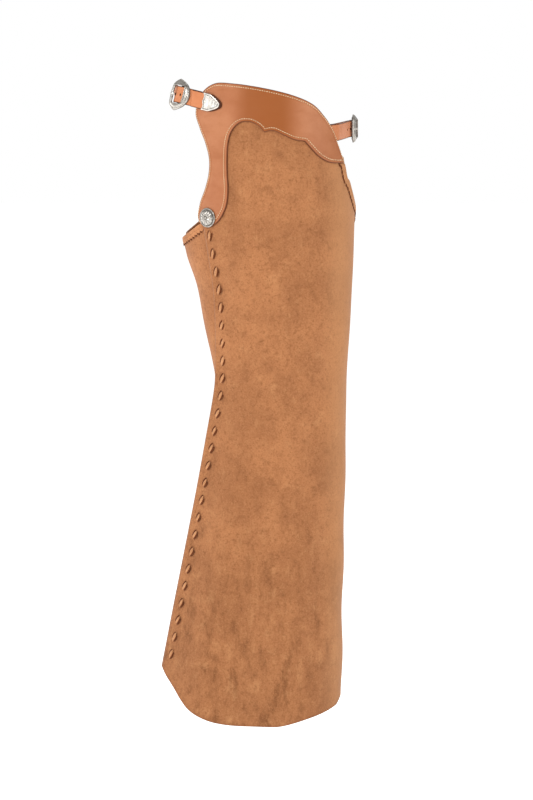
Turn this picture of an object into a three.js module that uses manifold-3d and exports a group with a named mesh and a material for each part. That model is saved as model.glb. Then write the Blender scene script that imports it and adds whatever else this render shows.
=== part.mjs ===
// Batwing chaps: two laced suede legs, leather hip yokes and buckled waist straps.
// Millimetres, +X to the wearer's front, +Y to the wearer's left, +Z up, origin at waist level.
import * as THREE from "three";
import Module from "manifold-3d";
import { mergeVertices } from "three/addons/utils/BufferGeometryUtils.js";

const wasm = await Module();
wasm.setup();

// Overall sizes
const garmentDrop = 951; // waist level to the lowest point of the hem
const seatDepth = 283; // back to front across the seat
const hipWidth = 350; // side to side across the hips
const crotchDrop = 207; // waist level to the top edge between the legs
const yokeDrop = 183; // waist level to the end of the yoke's rear tongue

// Leather
const suedeWall = 2;
const yokeWall = 2.4;
const strapWall = 2;
const facingWall = 1.2;
const laceWall = 1.4;
const seat = 0.3; // gap between pieces that touch
const yokeSeat = 0.5; // gap between a yoke and the panel beneath it
const lapGap = 1; // gap inside the lapped rear seam

// Straps
const strapWidth = 25.4;
const rearBilletRise = 21; // strap height above waist level at the middle of the back
const rearBuckleRise = 15;
const rearTipRise = -6;
const frontStrapDrop = 40; // strap depth below waist level at the yoke's front edge
const frontBuckleDrop = 34;
const chapeReturn = 8.6; // length of the folded end on top of a buckle bar
const anchorLength = 36; // strap length that lies inside a yoke

// Buckles
const rearBuckleHeight = 49;
const rearBuckleWidth = 44;
const frontBuckleHeight = 43.5;
const frontBuckleWidth = 40;
const buckleWall = 2.2;
const frameCrest = 7; // underside of the domed frame at its opening, above the strap
const frameRim = 2.6; // underside at its outer rim
const domePower = 1.5;
const hornLean = 0.16; // how far the points lean to the prong's side, by the buckle's width
const buckleClearance = 1.2; // between strap edge and frame opening
const barWidth = 4;
const prongWidth = 3.2;
const prongWall = 1.3;

// Concho, tip, facing and lace
const conchoDiameter = 29.5;
const conchoRise = 5.5;
const conchoPetals = 12;
const petalRelief = 0.5;
const tipLength = 29;
const tipWall = 1.2;
const facingWidth = 11;
const laceWidth = 7.4;
const laceNeck = 2.4;
const laceInset = 12; // from the seam edge to the lace
const stitchCount = 25;

// Sections of a leg from the waist down. down is a share of garmentDrop, seam and front of
// seatDepth behind and before the middle, outer and inner of hipWidth away from the middle plane.
const sections = [
  { down: -0.06, seam: -0.366, front: 0.494, outer: 0.500, inner: 0.040 },
  { down: 0.03, seam: -0.366, front: 0.496, outer: 0.502, inner: 0.040 },
  { down: 0.08, seam: -0.362, front: 0.500, outer: 0.506, inner: 0.040 },
  { down: 0.143, seam: -0.345, front: 0.500, outer: 0.509, inner: 0.040 },
  { down: 0.2, seam: -0.318, front: 0.495, outer: 0.511, inner: 0.040 },
  { down: 0.243, seam: -0.296, front: 0.489, outer: 0.511, inner: 0.044 },
  { down: 0.293, seam: -0.272, front: 0.483, outer: 0.509, inner: 0.055 },
  { down: 0.35, seam: -0.262, front: 0.474, outer: 0.502, inner: 0.073 },
  { down: 0.41, seam: -0.261, front: 0.463, outer: 0.494, inner: 0.088 },
  { down: 0.45, seam: -0.267, front: 0.457, outer: 0.491, inner: 0.090 },
  { down: 0.53, seam: -0.313, front: 0.454, outer: 0.490, inner: 0.090 },
  { down: 0.63, seam: -0.375, front: 0.448, outer: 0.494, inner: 0.086 },
  { down: 0.727, seam: -0.439, front: 0.445, outer: 0.500, inner: 0.080 },
  { down: 0.9, seam: -0.555, front: 0.435, outer: 0.514, inner: 0.068 },
  { down: 1.01, seam: -0.625, front: 0.430, outer: 0.522, inner: 0.060 },
];

// How each section bends. seamAside, frontAside and tuckAside are shares of hipWidth, tuckBack of
// seatDepth, and reach says how far the inner panel runs straight before it turns to the seam.
const bends = [
  { down: -0.06, seamAside: 0.383, frontAside: 0.020, tuckBack: 0.250, tuckAside: 0.200, reach: 1.40 },
  { down: 0.03, seamAside: 0.383, frontAside: 0.050, tuckBack: 0.250, tuckAside: 0.200, reach: 1.40 },
  { down: 0.08, seamAside: 0.384, frontAside: 0.120, tuckBack: 0.250, tuckAside: 0.200, reach: 1.40 },
  { down: 0.143, seamAside: 0.386, frontAside: 0.190, tuckBack: 0.250, tuckAside: 0.200, reach: 1.40 },
  { down: 0.2, seamAside: 0.396, frontAside: 0.229, tuckBack: 0.250, tuckAside: 0.200, reach: 1.40 },
  { down: 0.243, seamAside: 0.402, frontAside: 0.247, tuckBack: 0.262, tuckAside: 0.181, reach: 1.30 },
  { down: 0.293, seamAside: 0.406, frontAside: 0.260, tuckBack: 0.222, tuckAside: 0.140, reach: 1.10 },
  { down: 0.35, seamAside: 0.405, frontAside: 0.270, tuckBack: 0.165, tuckAside: 0.109, reach: 0.97 },
  { down: 0.41, seamAside: 0.401, frontAside: 0.278, tuckBack: 0.080, tuckAside: 0.080, reach: 0.85 },
  { down: 0.45, seamAside: 0.394, frontAside: 0.280, tuckBack: 0.027, tuckAside: 0.068, reach: 0.80 },
  { down: 0.53, seamAside: 0.379, frontAside: 0.280, tuckBack: 0.020, tuckAside: 0.060, reach: 0.80 },
  { down: 0.63, seamAside: 0.363, frontAside: 0.280, tuckBack: 0.020, tuckAside: 0.060, reach: 0.80 },
  { down: 0.727, seamAside: 0.350, frontAside: 0.280, tuckBack: 0.020, tuckAside: 0.060, reach: 0.80 },
  { down: 0.9, seamAside: 0.335, frontAside: 0.280, tuckBack: 0.020, tuckAside: 0.060, reach: 0.80 },
  { down: 1.01, seamAside: 0.330, frontAside: 0.280, tuckBack: 0.020, tuckAside: 0.060, reach: 0.80 },
];

// Hem of a leg. around runs from 0 at the seam by 1 at the front to 2 back at the seam.
const hemRows = [
  { around: 0, down: 0.914 },
  { around: 0.03, down: 0.927 },
  { around: 0.085, down: 0.945 },
  { around: 0.137, down: 0.963 },
  { around: 0.186, down: 0.976 },
  { around: 0.255, down: 0.986 },
  { around: 0.339, down: 0.993 },
  { around: 0.5, down: 0.999 },
  { around: 0.66, down: 1 },
  { around: 0.825, down: 0.989 },
  { around: 0.97, down: 0.976 },
  { around: 1, down: 0.966 },
  { around: 1.2, down: 0.955 },
  { around: 1.6, down: 0.945 },
  { around: 1.9, down: 0.922 },
  { around: 2, down: 0.914 },
];

// Top edge of a leg. byYoke is a share of yokeDrop under the yoke, byCrotch of crotchDrop past it.
const topRows = [
  { around: 0, byYoke: 0.9, byCrotch: 0 },
  { around: 0.08, byYoke: 0.87, byCrotch: 0 },
  { around: 0.12, byYoke: 0.76, byCrotch: 0 },
  { around: 0.153, byYoke: 0.55, byCrotch: 0 },
  { around: 0.192, byYoke: 0.25, byCrotch: 0 },
  { around: 0.24, byYoke: 0.12, byCrotch: 0 },
  { around: 0.31, byYoke: 0.055, byCrotch: 0 },
  { around: 0.37, byYoke: 0.068, byCrotch: 0 },
  { around: 0.43, byYoke: 0.135, byCrotch: 0 },
  { around: 0.51, byYoke: 0.135, byCrotch: 0 },
  { around: 0.565, byYoke: 0.18, byCrotch: 0 },
  { around: 0.62, byYoke: 0.2, byCrotch: 0 },
  { around: 0.68, byYoke: 0.215, byCrotch: 0 },
  { around: 0.735, byYoke: 0.315, byCrotch: 0 },
  { around: 0.81, byYoke: 0.385, byCrotch: 0 },
  { around: 0.89, byYoke: 0.4, byCrotch: 0 },
  { around: 0.917, byYoke: 0.42, byCrotch: 0 },
  { around: 0.93, byYoke: 0, byCrotch: 0.46 },
  { around: 0.957, byYoke: 0, byCrotch: 0.56 },
  { around: 0.985, byYoke: 0, byCrotch: 0.68 },
  { around: 1, byYoke: 0, byCrotch: 0.74 },
  { around: 1.1, byYoke: 0, byCrotch: 0.86 },
  { around: 1.25, byYoke: 0, byCrotch: 0.97 },
  { around: 1.5, byYoke: 0, byCrotch: 1 },
  { around: 1.8, byYoke: 0, byCrotch: 0.975 },
  { around: 1.9, byYoke: 0, byCrotch: 0.935 },
  { around: 2, byYoke: 0, byCrotch: 0.845 },
];

// Yoke from the tongue's end to the front point. along is a share of the panel from seam to
// front, down of yokeDrop, both for the outer edge and for the inner edge with its cusps.
const yokeRows = [
  { outerAlong: 0.02, outerDown: 1.0, innerAlong: 0.053, innerDown: 0.999, cusp: 0 },
  { outerAlong: -0.011, outerDown: 0.972, innerAlong: 0.099, innerDown: 0.961, cusp: 0 },
  { outerAlong: -0.02, outerDown: 0.922, innerAlong: 0.137, innerDown: 0.906, cusp: 0 },
  { outerAlong: 0.005, outerDown: 0.807, innerAlong: 0.176, innerDown: 0.809, cusp: 0 },
  { outerAlong: 0.048, outerDown: 0.685, innerAlong: 0.194, innerDown: 0.682, cusp: 0 },
  { outerAlong: 0.079, outerDown: 0.561, innerAlong: 0.196, innerDown: 0.559, cusp: 0 },
  { outerAlong: 0.088, outerDown: 0.435, innerAlong: 0.2, innerDown: 0.434, cusp: 0 },
  { outerAlong: 0.069, outerDown: 0.308, innerAlong: 0.209, innerDown: 0.311, cusp: 0 },
  { outerAlong: 0.035, outerDown: 0.182, innerAlong: 0.227, innerDown: 0.226, cusp: 0 },
  { outerAlong: 0.011, outerDown: 0.055, innerAlong: 0.258, innerDown: 0.167, cusp: 0 },
  { outerAlong: 0.057, outerDown: -0.111, innerAlong: 0.293, innerDown: 0.137, cusp: 0 },
  { outerAlong: 0.134, outerDown: -0.178, innerAlong: 0.325, innerDown: 0.133, cusp: 0 },
  { outerAlong: 0.25, outerDown: -0.174, innerAlong: 0.355, innerDown: 0.139, cusp: 0 },
  { outerAlong: 0.35, outerDown: -0.156, innerAlong: 0.397, innerDown: 0.17, cusp: 0 },
  { outerAlong: 0.441, outerDown: -0.134, innerAlong: 0.428, innerDown: 0.218, cusp: 1 },
  { outerAlong: 0.5, outerDown: -0.117, innerAlong: 0.48, innerDown: 0.206, cusp: 0 },
  { outerAlong: 0.57, outerDown: -0.093, innerAlong: 0.55, innerDown: 0.246, cusp: 0 },
  { outerAlong: 0.63, outerDown: -0.067, innerAlong: 0.61, innerDown: 0.281, cusp: 0 },
  { outerAlong: 0.69, outerDown: -0.034, innerAlong: 0.673, innerDown: 0.294, cusp: 1 },
  { outerAlong: 0.74, outerDown: 0.008, innerAlong: 0.712, innerDown: 0.355, cusp: 0 },
  { outerAlong: 0.783, outerDown: 0.07, innerAlong: 0.76, innerDown: 0.422, cusp: 0 },
  { outerAlong: 0.835, outerDown: 0.169, innerAlong: 0.82, innerDown: 0.466, cusp: 0 },
  { outerAlong: 0.874, outerDown: 0.31, innerAlong: 0.88, innerDown: 0.475, cusp: 0 },
  { outerAlong: 0.908, outerDown: 0.457, innerAlong: 0.906, innerDown: 0.473, cusp: 0 },
];

// Soft vertical folds of a leg, deepest at the hem. Columns: at around, half width, depth in mm
// as a share of seatDepth, and the height below which the fold grows as a share of garmentDrop.
const folds = [
  { at: 0.3, half: 0.12, depth: 0.014, from: 0.45 },
  { at: 0.55, half: 0.1, depth: -0.01, from: 0.4 },
  { at: 0.78, half: 0.1, depth: 0.012, from: 0.42 },
  { at: 1.3, half: 0.12, depth: 0.012, from: 0.45 },
  { at: 1.6, half: 0.12, depth: -0.012, from: 0.45 },
];

// How round the panel is at its sides
const widestShare = 0.46; // widest place between seam and front
const rearPower = 2.2;
const frontPower = 2.3;
const innerPower = 2.2;
const innerWidest = 0.5;
const frontEnds = 1.4; // around value where the inner front bend meets the inner back bend

// Smooth value of one column of a table at a position
function tableValue(rows, position, key, value) {
  const last = rows.length - 1;
  const wanted = THREE.MathUtils.clamp(value, rows[0][position], rows[last][position]);
  let i = 0;
  while (i < last - 1 && wanted > rows[i + 1][position]) {
    i += 1;
  }
  const slope = (j) => {
    const a = Math.max(j - 1, 0);
    const b = Math.min(j + 1, last);
    return (rows[b][key] - rows[a][key]) / (rows[b][position] - rows[a][position]);
  };
  const step = rows[i + 1][position] - rows[i][position];
  const t = (wanted - rows[i][position]) / step;
  const rise = rows[i + 1][key] - rows[i][key];
  const flat = Math.abs(rise) / step * 3;
  const limit = (s) => (rise === 0 || s * rise < 0 ? 0 : THREE.MathUtils.clamp(s, -flat, flat));
  const s0 = limit(slope(i)) * step;
  const s1 = limit(slope(i + 1)) * step;
  const h = t * t * (3 - 2 * t);
  return rows[i][key] + rise * h + s0 * t * (1 - t) * (1 - t) - s1 * t * t * (1 - t);
}

function sectionAt(z) {
  const down = -z / garmentDrop;
  const read = (key) => tableValue(sections, "down", key, down);
  const bend = (key) => tableValue(bends, "down", key, down);
  const seamX = read("seam") * seatDepth;
  const frontX = read("front") * seatDepth;
  const innerY = -read("inner") * hipWidth;
  return {
    seamX,
    frontX,
    widestX: THREE.MathUtils.lerp(seamX, frontX, widestShare),
    innerX: THREE.MathUtils.lerp(seamX, frontX, innerWidest),
    outerY: -read("outer") * hipWidth,
    seamY: -bend("seamAside") * hipWidth,
    frontY: -bend("frontAside") * hipWidth,
    innerY,
    tuckBack: bend("tuckBack") * seatDepth,
    tuckAside: bend("tuckAside") * hipWidth,
    reach: bend("reach"),
  };
}

// Side of the body at a place seen from the side, before folds
function outerY(x, z) {
  const s = sectionAt(z);
  if (x < s.widestX) {
    const t = (s.widestX - x) / (s.widestX - s.seamX);
    return s.outerY + (s.seamY - s.outerY) * Math.pow(t, rearPower);
  }
  const t = Math.min((x - s.widestX) / (s.frontX - s.widestX), 1);
  return s.frontY + (s.outerY - s.frontY) * Math.pow(1 - Math.pow(t, frontPower), 1 / frontPower);
}

function foldDepth(around, z) {
  const down = -z / garmentDrop;
  return folds.reduce((sum, fold) => {
    const aside = (around - fold.at) / fold.half;
    const grow = THREE.MathUtils.smoothstep(down, fold.from, 1);
    return sum + fold.depth * seatDepth * grow * Math.exp(-aside * aside);
  }, 0);
}

// Point of the rolled panel before thickness: around 0 to 1 outside, 1 to 2 inside, past 2 lapped
function panelPoint(around, z) {
  const s = sectionAt(z);
  if (around > 2) {
    const x = THREE.MathUtils.lerp(s.seamX, s.frontX, around - 2);
    return new THREE.Vector3(x, outerY(x, z), z);
  }
  if (around <= 1) {
    const x = THREE.MathUtils.lerp(s.seamX, s.frontX, around);
    return new THREE.Vector3(x, outerY(x, z) - foldDepth(around, z), z);
  }
  if (around <= frontEnds) {
    const turn = ((around - 1) / (frontEnds - 1)) * Math.PI / 2;
    const across = Math.pow(Math.max(Math.cos(turn), 0), 2 / innerPower);
    const aside = Math.pow(Math.sin(turn), 2 / innerPower);
    const x = THREE.MathUtils.lerp(s.innerX, s.frontX, across);
    const y = THREE.MathUtils.lerp(s.frontY, s.innerY, aside);
    return new THREE.Vector3(x, y + foldDepth(around, z), z);
  }
  const end = seamTuck(z);
  const curve = new THREE.CubicBezierCurve(
    new THREE.Vector2(s.innerX, s.innerY),
    new THREE.Vector2(s.innerX - (s.innerX - s.seamX) * s.reach, s.innerY),
    new THREE.Vector2(end.x - s.tuckBack, end.y + s.tuckAside),
    end,
  );
  const t = (around - frontEnds) / (2 - frontEnds);
  const p = curve.getPoint(t);
  return new THREE.Vector3(p.x, p.y + foldDepth(around, z), z);
}

// Where the inner end of the panel slips beneath the seam edge
function seamTuck(z) {
  const s = sectionAt(z);
  const n = outerNormal(s.seamX, z);
  const depth = suedeWall + lapGap;
  return new THREE.Vector2(s.seamX - n.x * depth, s.seamY - n.y * depth);
}

// Outward direction of the body's side
function outerNormal(x, z) {
  const step = 1;
  const dx = (outerY(x + step, z) - outerY(x - step, z)) / (2 * step);
  const dz = (outerY(x, z + step) - outerY(x, z - step)) / (2 * step);
  return new THREE.Vector3(dx, -1, dz).normalize();
}

function onSide(x, z, out) {
  const n = outerNormal(x, z);
  return new THREE.Vector3(x, outerY(x, z), z).addScaledVector(n, out);
}

// Closed solid from a box whose corners are moved: u and v run over the sheet, w through it
function warpedSheet(columns, rows, place) {
  const box = new THREE.BoxGeometry(1, 1, 1, columns, rows, 1);
  box.deleteAttribute("normal");
  box.deleteAttribute("uv");
  const merged = mergeVertices(box, 1e-4);
  const position = merged.attributes.position;
  for (let i = 0; i < position.count; i += 1) {
    const u = Math.round((position.getX(i) + 0.5) * columns);
    const v = Math.round((position.getY(i) + 0.5) * rows);
    const w = Math.round(position.getZ(i) + 0.5);
    const p = place(u, v, w);
    position.setXYZ(i, p.x, p.y, p.z);
  }
  return merged;
}

// The box mapping keeps its faces outward when u, v and w are right handed; turn it if not
function faceOut(geometry) {
  const position = geometry.attributes.position;
  const index = geometry.index;
  let volume = 0;
  const a = new THREE.Vector3();
  const b = new THREE.Vector3();
  const c = new THREE.Vector3();
  for (let i = 0; i < index.count; i += 3) {
    a.fromBufferAttribute(position, index.getX(i));
    b.fromBufferAttribute(position, index.getX(i + 1));
    c.fromBufferAttribute(position, index.getX(i + 2));
    volume += a.dot(b.cross(c));
  }
  if (volume < 0) {
    for (let i = 0; i < index.count; i += 3) {
      const keep = index.getX(i);
      index.setX(i, index.getX(i + 1));
      index.setX(i + 1, keep);
    }
  }
  geometry.computeVertexNormals();
  return geometry;
}

// Columns of a leg panel, closer together where it bends
const rearSteps = 12;
const frontSteps = 12;
const bendSteps = 7;
const backSteps = 9;
const lapSteps = 2;
const frontCrowding = 1.8;

const columnAround = [];
for (let i = 0; i <= rearSteps; i += 1) {
  columnAround.push((i / rearSteps) * widestShare);
}
for (let i = 1; i <= frontSteps; i += 1) {
  const left = Math.pow(1 - i / frontSteps, frontCrowding);
  columnAround.push(THREE.MathUtils.lerp(1, widestShare, left));
}
for (let i = 1; i <= bendSteps; i += 1) {
  columnAround.push(1 + (i / bendSteps) * (frontEnds - 1));
}
for (let i = 1; i <= backSteps; i += 1) {
  columnAround.push(frontEnds + (i / backSteps) * (2 - frontEnds));
}
for (let i = 1; i <= lapSteps; i += 1) {
  columnAround.push(2 + columnAround[i]);
}

function hemZ(around) {
  const at = around > 2 ? around - 2 : around;
  return -tableValue(hemRows, "around", "down", at) * garmentDrop;
}

function topZ(around) {
  const read = (key) => tableValue(topRows, "around", key, Math.min(around, 2));
  return -read("byYoke") * yokeDrop - read("byCrotch") * crotchDrop;
}

const legRows = 14;
function rowShare(v) {
  const t = v / legRows;
  return t * (1.25 - 0.25 * t);
}

// Outward direction of the rolled panel
function panelNormal(around, z) {
  const step = 0.004;
  const low = panelPoint(Math.max(around - step, 0), z);
  const high = panelPoint(around + step, z);
  const up = panelPoint(around, z + 2).sub(panelPoint(around, z - 2));
  return high.sub(low).cross(up).normalize();
}

function legPoint(u, v, w) {
  const around = columnAround[u];
  const z = THREE.MathUtils.lerp(hemZ(around), topZ(around), rowShare(v));
  if (around > 2) {
    const s = sectionAt(z);
    const x = THREE.MathUtils.lerp(s.seamX, s.frontX, around - 2);
    return onSide(x, z, -(suedeWall + lapGap) - suedeWall * (1 - w));
  }
  if (around === 2) {
    const p = panelPoint(2, z);
    const n = outerNormal(sectionAt(z).seamX, z);
    return p.addScaledVector(n, -suedeWall * (1 - w));
  }
  return panelPoint(around, z).addScaledVector(panelNormal(around, z), -suedeWall * (1 - w));
}

function legSolid() {
  return faceOut(warpedSheet(columnAround.length - 1, legRows, legPoint));
}

// Facing strip along the top edge round the inside of the thigh, in step with the leg's columns
const facingFirst = rearSteps + 7; // column where the strip comes out from under the yoke
const facingEnd = 1.975;
const facingUnderYoke = 0.481; // by yokeDrop
const facingAround = [...columnAround.slice(facingFirst).filter((around) => around < facingEnd), facingEnd];

// Lower edge of the strip: everywhere facingWidth away from the panel's top edge
function facingLow(around) {
  const step = 0.004;
  const z = topZ(around);
  const rate = panelPoint(around + step, z).distanceTo(panelPoint(around - step, z)) / (2 * step);
  let low = z - facingWidth;
  for (let t = -1; t <= 1; t += 0.125) {
    const beside = topZ(around + t * facingWidth / rate);
    low = Math.min(low, beside - facingWidth * Math.sqrt(1 - t * t));
  }
  return low;
}

function facingPoint(u, v, w) {
  const around = facingAround[u];
  const top = Math.min(topZ(around), -facingUnderYoke * yokeDrop);
  const low = Math.min(facingLow(around), top - facingWall);
  const z = THREE.MathUtils.lerp(low, top, v);
  const out = yokeSeat + facingWall * w;
  return panelPoint(around, z).addScaledVector(panelNormal(around, z), out);
}

function facingSolid() {
  return faceOut(warpedSheet(facingAround.length - 1, 1, facingPoint));
}

// Thong stitches down the rear seam, wide at each stitch and narrow where they dip
const laceTop = 0.206; // first stitch, by garmentDrop
const laceBottom = 0.891; // last stitch
const laceNarrow = 0.67; // inset at the top, by laceInset
function lacePoint(u, v, w) {
  const share = (u - 1) / (2 * stitchCount - 2);
  const down = THREE.MathUtils.lerp(laceTop, laceBottom, share) * garmentDrop;
  const z = -Math.max(down, yokeDrop + facingWall * 2);
  const half = (u % 2 === 1 ? laceWidth : laceNeck) / 2;
  const inset = laceInset * THREE.MathUtils.lerp(laceNarrow, 1, Math.min(share * 4, 1));
  const x = sectionAt(z).seamX + inset + half * (2 * v - 1);
  const fold = foldDepth(0, z);
  const p = onSide(x, z, seat + yokeSeat + laceWall * w);
  return p.setY(p.y - fold);
}

function laceSolid() {
  return faceOut(warpedSheet(2 * stitchCount, 1, lacePoint));
}

// Yoke edges as smooth runs of stations, broken at the cusps of the inner edge
const yokeSteps = 2; // stations between two rows of the table
const yokeAcross = 4;
function edgeStations(alongKey, downKey, breaks) {
  const points = yokeRows.map((row) => new THREE.Vector3(row[alongKey], row[downKey], 0));
  const stops = yokeRows.map((row, i) => (breaks && row.cusp ? i : -1)).filter((i) => i > 0);
  const ends = [0, ...stops, points.length - 1];
  const stations = [];
  for (let e = 0; e < ends.length - 1; e += 1) {
    const run = points.slice(ends[e], ends[e + 1] + 1);
    const curve = new THREE.CatmullRomCurve3(run, false, "centripetal");
    const count = (run.length - 1) * yokeSteps;
    for (let i = e === 0 ? 0 : 1; i <= count; i += 1) {
      stations.push(curve.getPoint(i / count));
    }
  }
  return stations;
}

const outerStations = edgeStations("outerAlong", "outerDown", false);
const innerStations = edgeStations("innerAlong", "innerDown", true);
function yokePoint(u, v, w) {
  const at = outerStations[u].clone().lerp(innerStations[u], v / yokeAcross);
  const z = -at.y * yokeDrop;
  const s = sectionAt(z);
  const x = THREE.MathUtils.lerp(s.seamX, s.frontX, at.x);
  return onSide(x, z, yokeSeat + yokeWall * w);
}

function yokeSolid() {
  return faceOut(warpedSheet(outerStations.length - 1, yokeAcross, yokePoint));
}

const yokeFace = yokeSeat + yokeWall; // height of the yoke's face above the body

// Concho at the end of the tongue: a lathed dome with raised petals
const conchoAlong = 0.037;
const conchoDown = 0.917;
const conchoRim = 0.09;
function conchoSolid() {
  const radius = conchoDiameter / 2;
  const rim = conchoRise * conchoRim * 2;
  const profile = [
    new THREE.Vector2(0, 0),
    new THREE.Vector2(radius * 0.93, 0),
    new THREE.Vector2(radius, rim * 0.5),
    new THREE.Vector2(radius * 0.93, rim),
    new THREE.Vector2(radius * 0.84, rim * 0.9),
    new THREE.Vector2(radius * 0.7, conchoRise * 0.55),
    new THREE.Vector2(radius * 0.45, conchoRise * 0.85),
    new THREE.Vector2(radius * 0.2, conchoRise),
    new THREE.Vector2(0, conchoRise),
  ];
  const dome = new THREE.LatheGeometry(profile, conchoPetals * 2);
  dome.deleteAttribute("normal");
  dome.deleteAttribute("uv");
  const merged = mergeVertices(dome, 1e-3);
  const position = merged.attributes.position;
  for (let i = 0; i < position.count; i += 1) {
    const r = Math.hypot(position.getX(i), position.getZ(i)) / radius;
    const turn = Math.atan2(position.getZ(i), position.getX(i));
    const petal = Math.cos(turn * conchoPetals) * petalRelief;
    if (r > 0.3 && r < 0.8) {
      position.setY(i, position.getY(i) + petal);
    }
  }
  const z = -conchoDown * yokeDrop;
  const s = sectionAt(z);
  const x = THREE.MathUtils.lerp(s.seamX, s.frontX, conchoAlong);
  const n = outerNormal(x, z);
  merged.applyQuaternion(new THREE.Quaternion().setFromUnitVectors(new THREE.Vector3(0, 1, 0), n));
  const clear = petalRelief + seat;
  const p = onSide(x, z, yokeFace + clear);
  merged.translate(p.x, p.y, p.z);
  return faceOut(merged);
}

// Strap routes. A route is a list of stations: place on the body line, outward and upward.
// Rear corner and back of the waist line, as shares of seatDepth and hipWidth
const rearCorner = [
  { back: -0.425, aside: 0.335 },
  { back: -0.466, aside: 0.29 },
  { back: -0.482, aside: 0.22 },
  { back: -0.486, aside: 0.12 },
  { back: -0.486, aside: 0 },
];

// Front middle of the strap line
const frontCorner = [
  { back: 0.444, aside: 0.25 },
  { back: 0.47, aside: 0.16 },
  { back: 0.487, aside: 0.08 },
  { back: 0.493, aside: 0 },
];

function sideLine(xStart, xEnd, z, count) {
  const points = [];
  for (let i = 0; i <= count; i += 1) {
    const x = THREE.MathUtils.lerp(xStart, xEnd, i / count);
    points.push(new THREE.Vector3(x, outerY(x, z), 0));
  }
  return points;
}

const corner = (row) => new THREE.Vector3(row.back * seatDepth, -row.aside * hipWidth, 0);
const mirrored = (p) => new THREE.Vector3(p.x, -p.y, 0);

// Plan line from inside the near yoke round the middle to inside the far yoke
function planLine(side, turn) {
  const near = [...side, ...turn];
  const far = near.slice(0, -1).reverse().map(mirrored);
  return new THREE.CatmullRomCurve3([...near, ...far], false, "centripetal");
}

const rearEdgeX = sectionAt(0).seamX;
const rearInsideX = rearEdgeX + anchorLength + tipLength;
const rearLine = planLine(sideLine(rearInsideX, rearEdgeX, rearBuckleRise * 0.5, 5), rearCorner.map(corner));
const frontEdge = -frontStrapDrop;
const frontInsideX = sectionAt(frontEdge).frontX * 0.66;
const frontYokeX = sectionAt(frontEdge).frontX * 0.8;
const frontLine = planLine(sideLine(frontInsideX, frontYokeX, frontEdge, 4), frontCorner.map(corner));
rearLine.arcLengthDivisions = 800;
frontLine.arcLengthDivisions = 800;

// Distance along a line of the point nearest to a test place
function distanceWhere(line, test) {
  const total = line.getLength();
  const steps = 800;
  for (let i = 0; i <= steps; i += 1) {
    if (test(line.getPointAt(i / steps))) {
      return (i / steps) * total;
    }
  }
  return total;
}

const buckleShareX = 0.437; // rear buckle's middle, by seatDepth behind the waist's middle
const frontBuckleAside = 0.1; // front buckle's middle, by hipWidth to the right
const rearTotal = rearLine.getLength();
const frontTotal = frontLine.getLength();
const rearYokeEdgeAt = distanceWhere(rearLine, (p) => p.x < rearEdgeX);
const frontYokeEdgeAt = distanceWhere(frontLine, (p) => p.x > frontYokeX);
const rearBuckleAt = distanceWhere(rearLine, (p) => p.x < -buckleShareX * seatDepth);
const frontBuckleAt = distanceWhere(frontLine, (p) => p.x > 0 && p.y > -frontBuckleAside * hipWidth);

// Height of each strap's middle along its line
function rearRise(distance) {
  const rows = [
    { at: 0, rise: rearTipRise },
    { at: rearBuckleAt, rise: rearBuckleRise },
    { at: rearTotal / 2, rise: rearBilletRise },
    { at: rearTotal - rearBuckleAt, rise: rearBuckleRise },
    { at: rearTotal, rise: rearTipRise },
  ];
  return tableValue(rows, "at", "rise", distance);
}

function frontRise(distance) {
  const rows = [
    { at: 0, rise: -frontStrapDrop * 1.06 },
    { at: frontTotal / 2, rise: -frontBuckleDrop },
    { at: frontTotal, rise: -frontStrapDrop * 1.06 },
  ];
  return tableValue(rows, "at", "rise", distance);
}

function frameAt(line, rise, distance) {
  const total = line.getLength();
  const at = THREE.MathUtils.clamp(distance / total, 0, 1);
  const p = line.getPointAt(at);
  const t = line.getTangentAt(at);
  const step = 2;
  const slope = (rise(distance + step) - rise(distance - step)) / (2 * step);
  const flat = new THREE.Vector3(t.x, t.y, 0).normalize();
  const along = new THREE.Vector3(flat.x, flat.y, slope).normalize();
  // lines run from the near side, so outward is to the left at the back and right at the front
  const outward = new THREE.Vector3(-flat.y, flat.x, 0);
  if (outward.dot(p) < 0) {
    outward.negate();
  }
  const up = outward.clone().cross(along).normalize();
  if (up.z < 0) {
    up.negate();
  }
  return { p: new THREE.Vector3(p.x, p.y, rise(distance)), outward, up, along };
}

// Point of a strap: out is its height off the body, side its place across the width.
// Inside and near a yoke the strap leans with the body's side.
const leanFade = 12;
function strapPoint(line, rise, distance, out, side) {
  const f = frameAt(line, rise, distance);
  const total = line.getLength();
  const inside = Math.min(distance, total - distance);
  const edge = line === rearLine ? rearYokeEdgeAt : frontYokeEdgeAt;
  const weight = 1 - THREE.MathUtils.smoothstep(inside, edge, edge + leanFade);
  const p = f.p.clone().addScaledVector(f.up, side);
  if (weight > 0) {
    const hand = distance < total / 2 ? 1 : -1;
    p.y = THREE.MathUtils.lerp(p.y, hand * outerY(p.x, p.z), weight);
  }
  return p.addScaledVector(f.outward, out);
}

// Stations along a strap: each run goes on from the last one to its end in equal steps
function stationsFrom(start, runs) {
  const stations = [start];
  runs.forEach((run) => {
    const from = stations[stations.length - 1];
    for (let i = 1; i <= run.steps; i += 1) {
      stations.push(THREE.MathUtils.lerp(from, run.to, i / run.steps));
    }
  });
  return stations;
}

// Strap solid through its stations; out gives its height off the body, half its half width
function strapSolid(line, rise, stations, out, half, wall) {
  return faceOut(warpedSheet(stations.length - 1, 1, (u, v, w) => {
    const distance = stations[u];
    return strapPoint(line, rise, distance, out(distance) + wall * w, half(distance) * (2 * v - 1));
  }));
}

// Heights off the body, from the buckle strap outward
const chapeOut = -strapWall;
const barOut = seat;
const returnOut = barOut + buckleWall + seat;
const billetOut = returnOut + strapWall + seat;
const billetOnYoke = yokeFace + seat;

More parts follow.
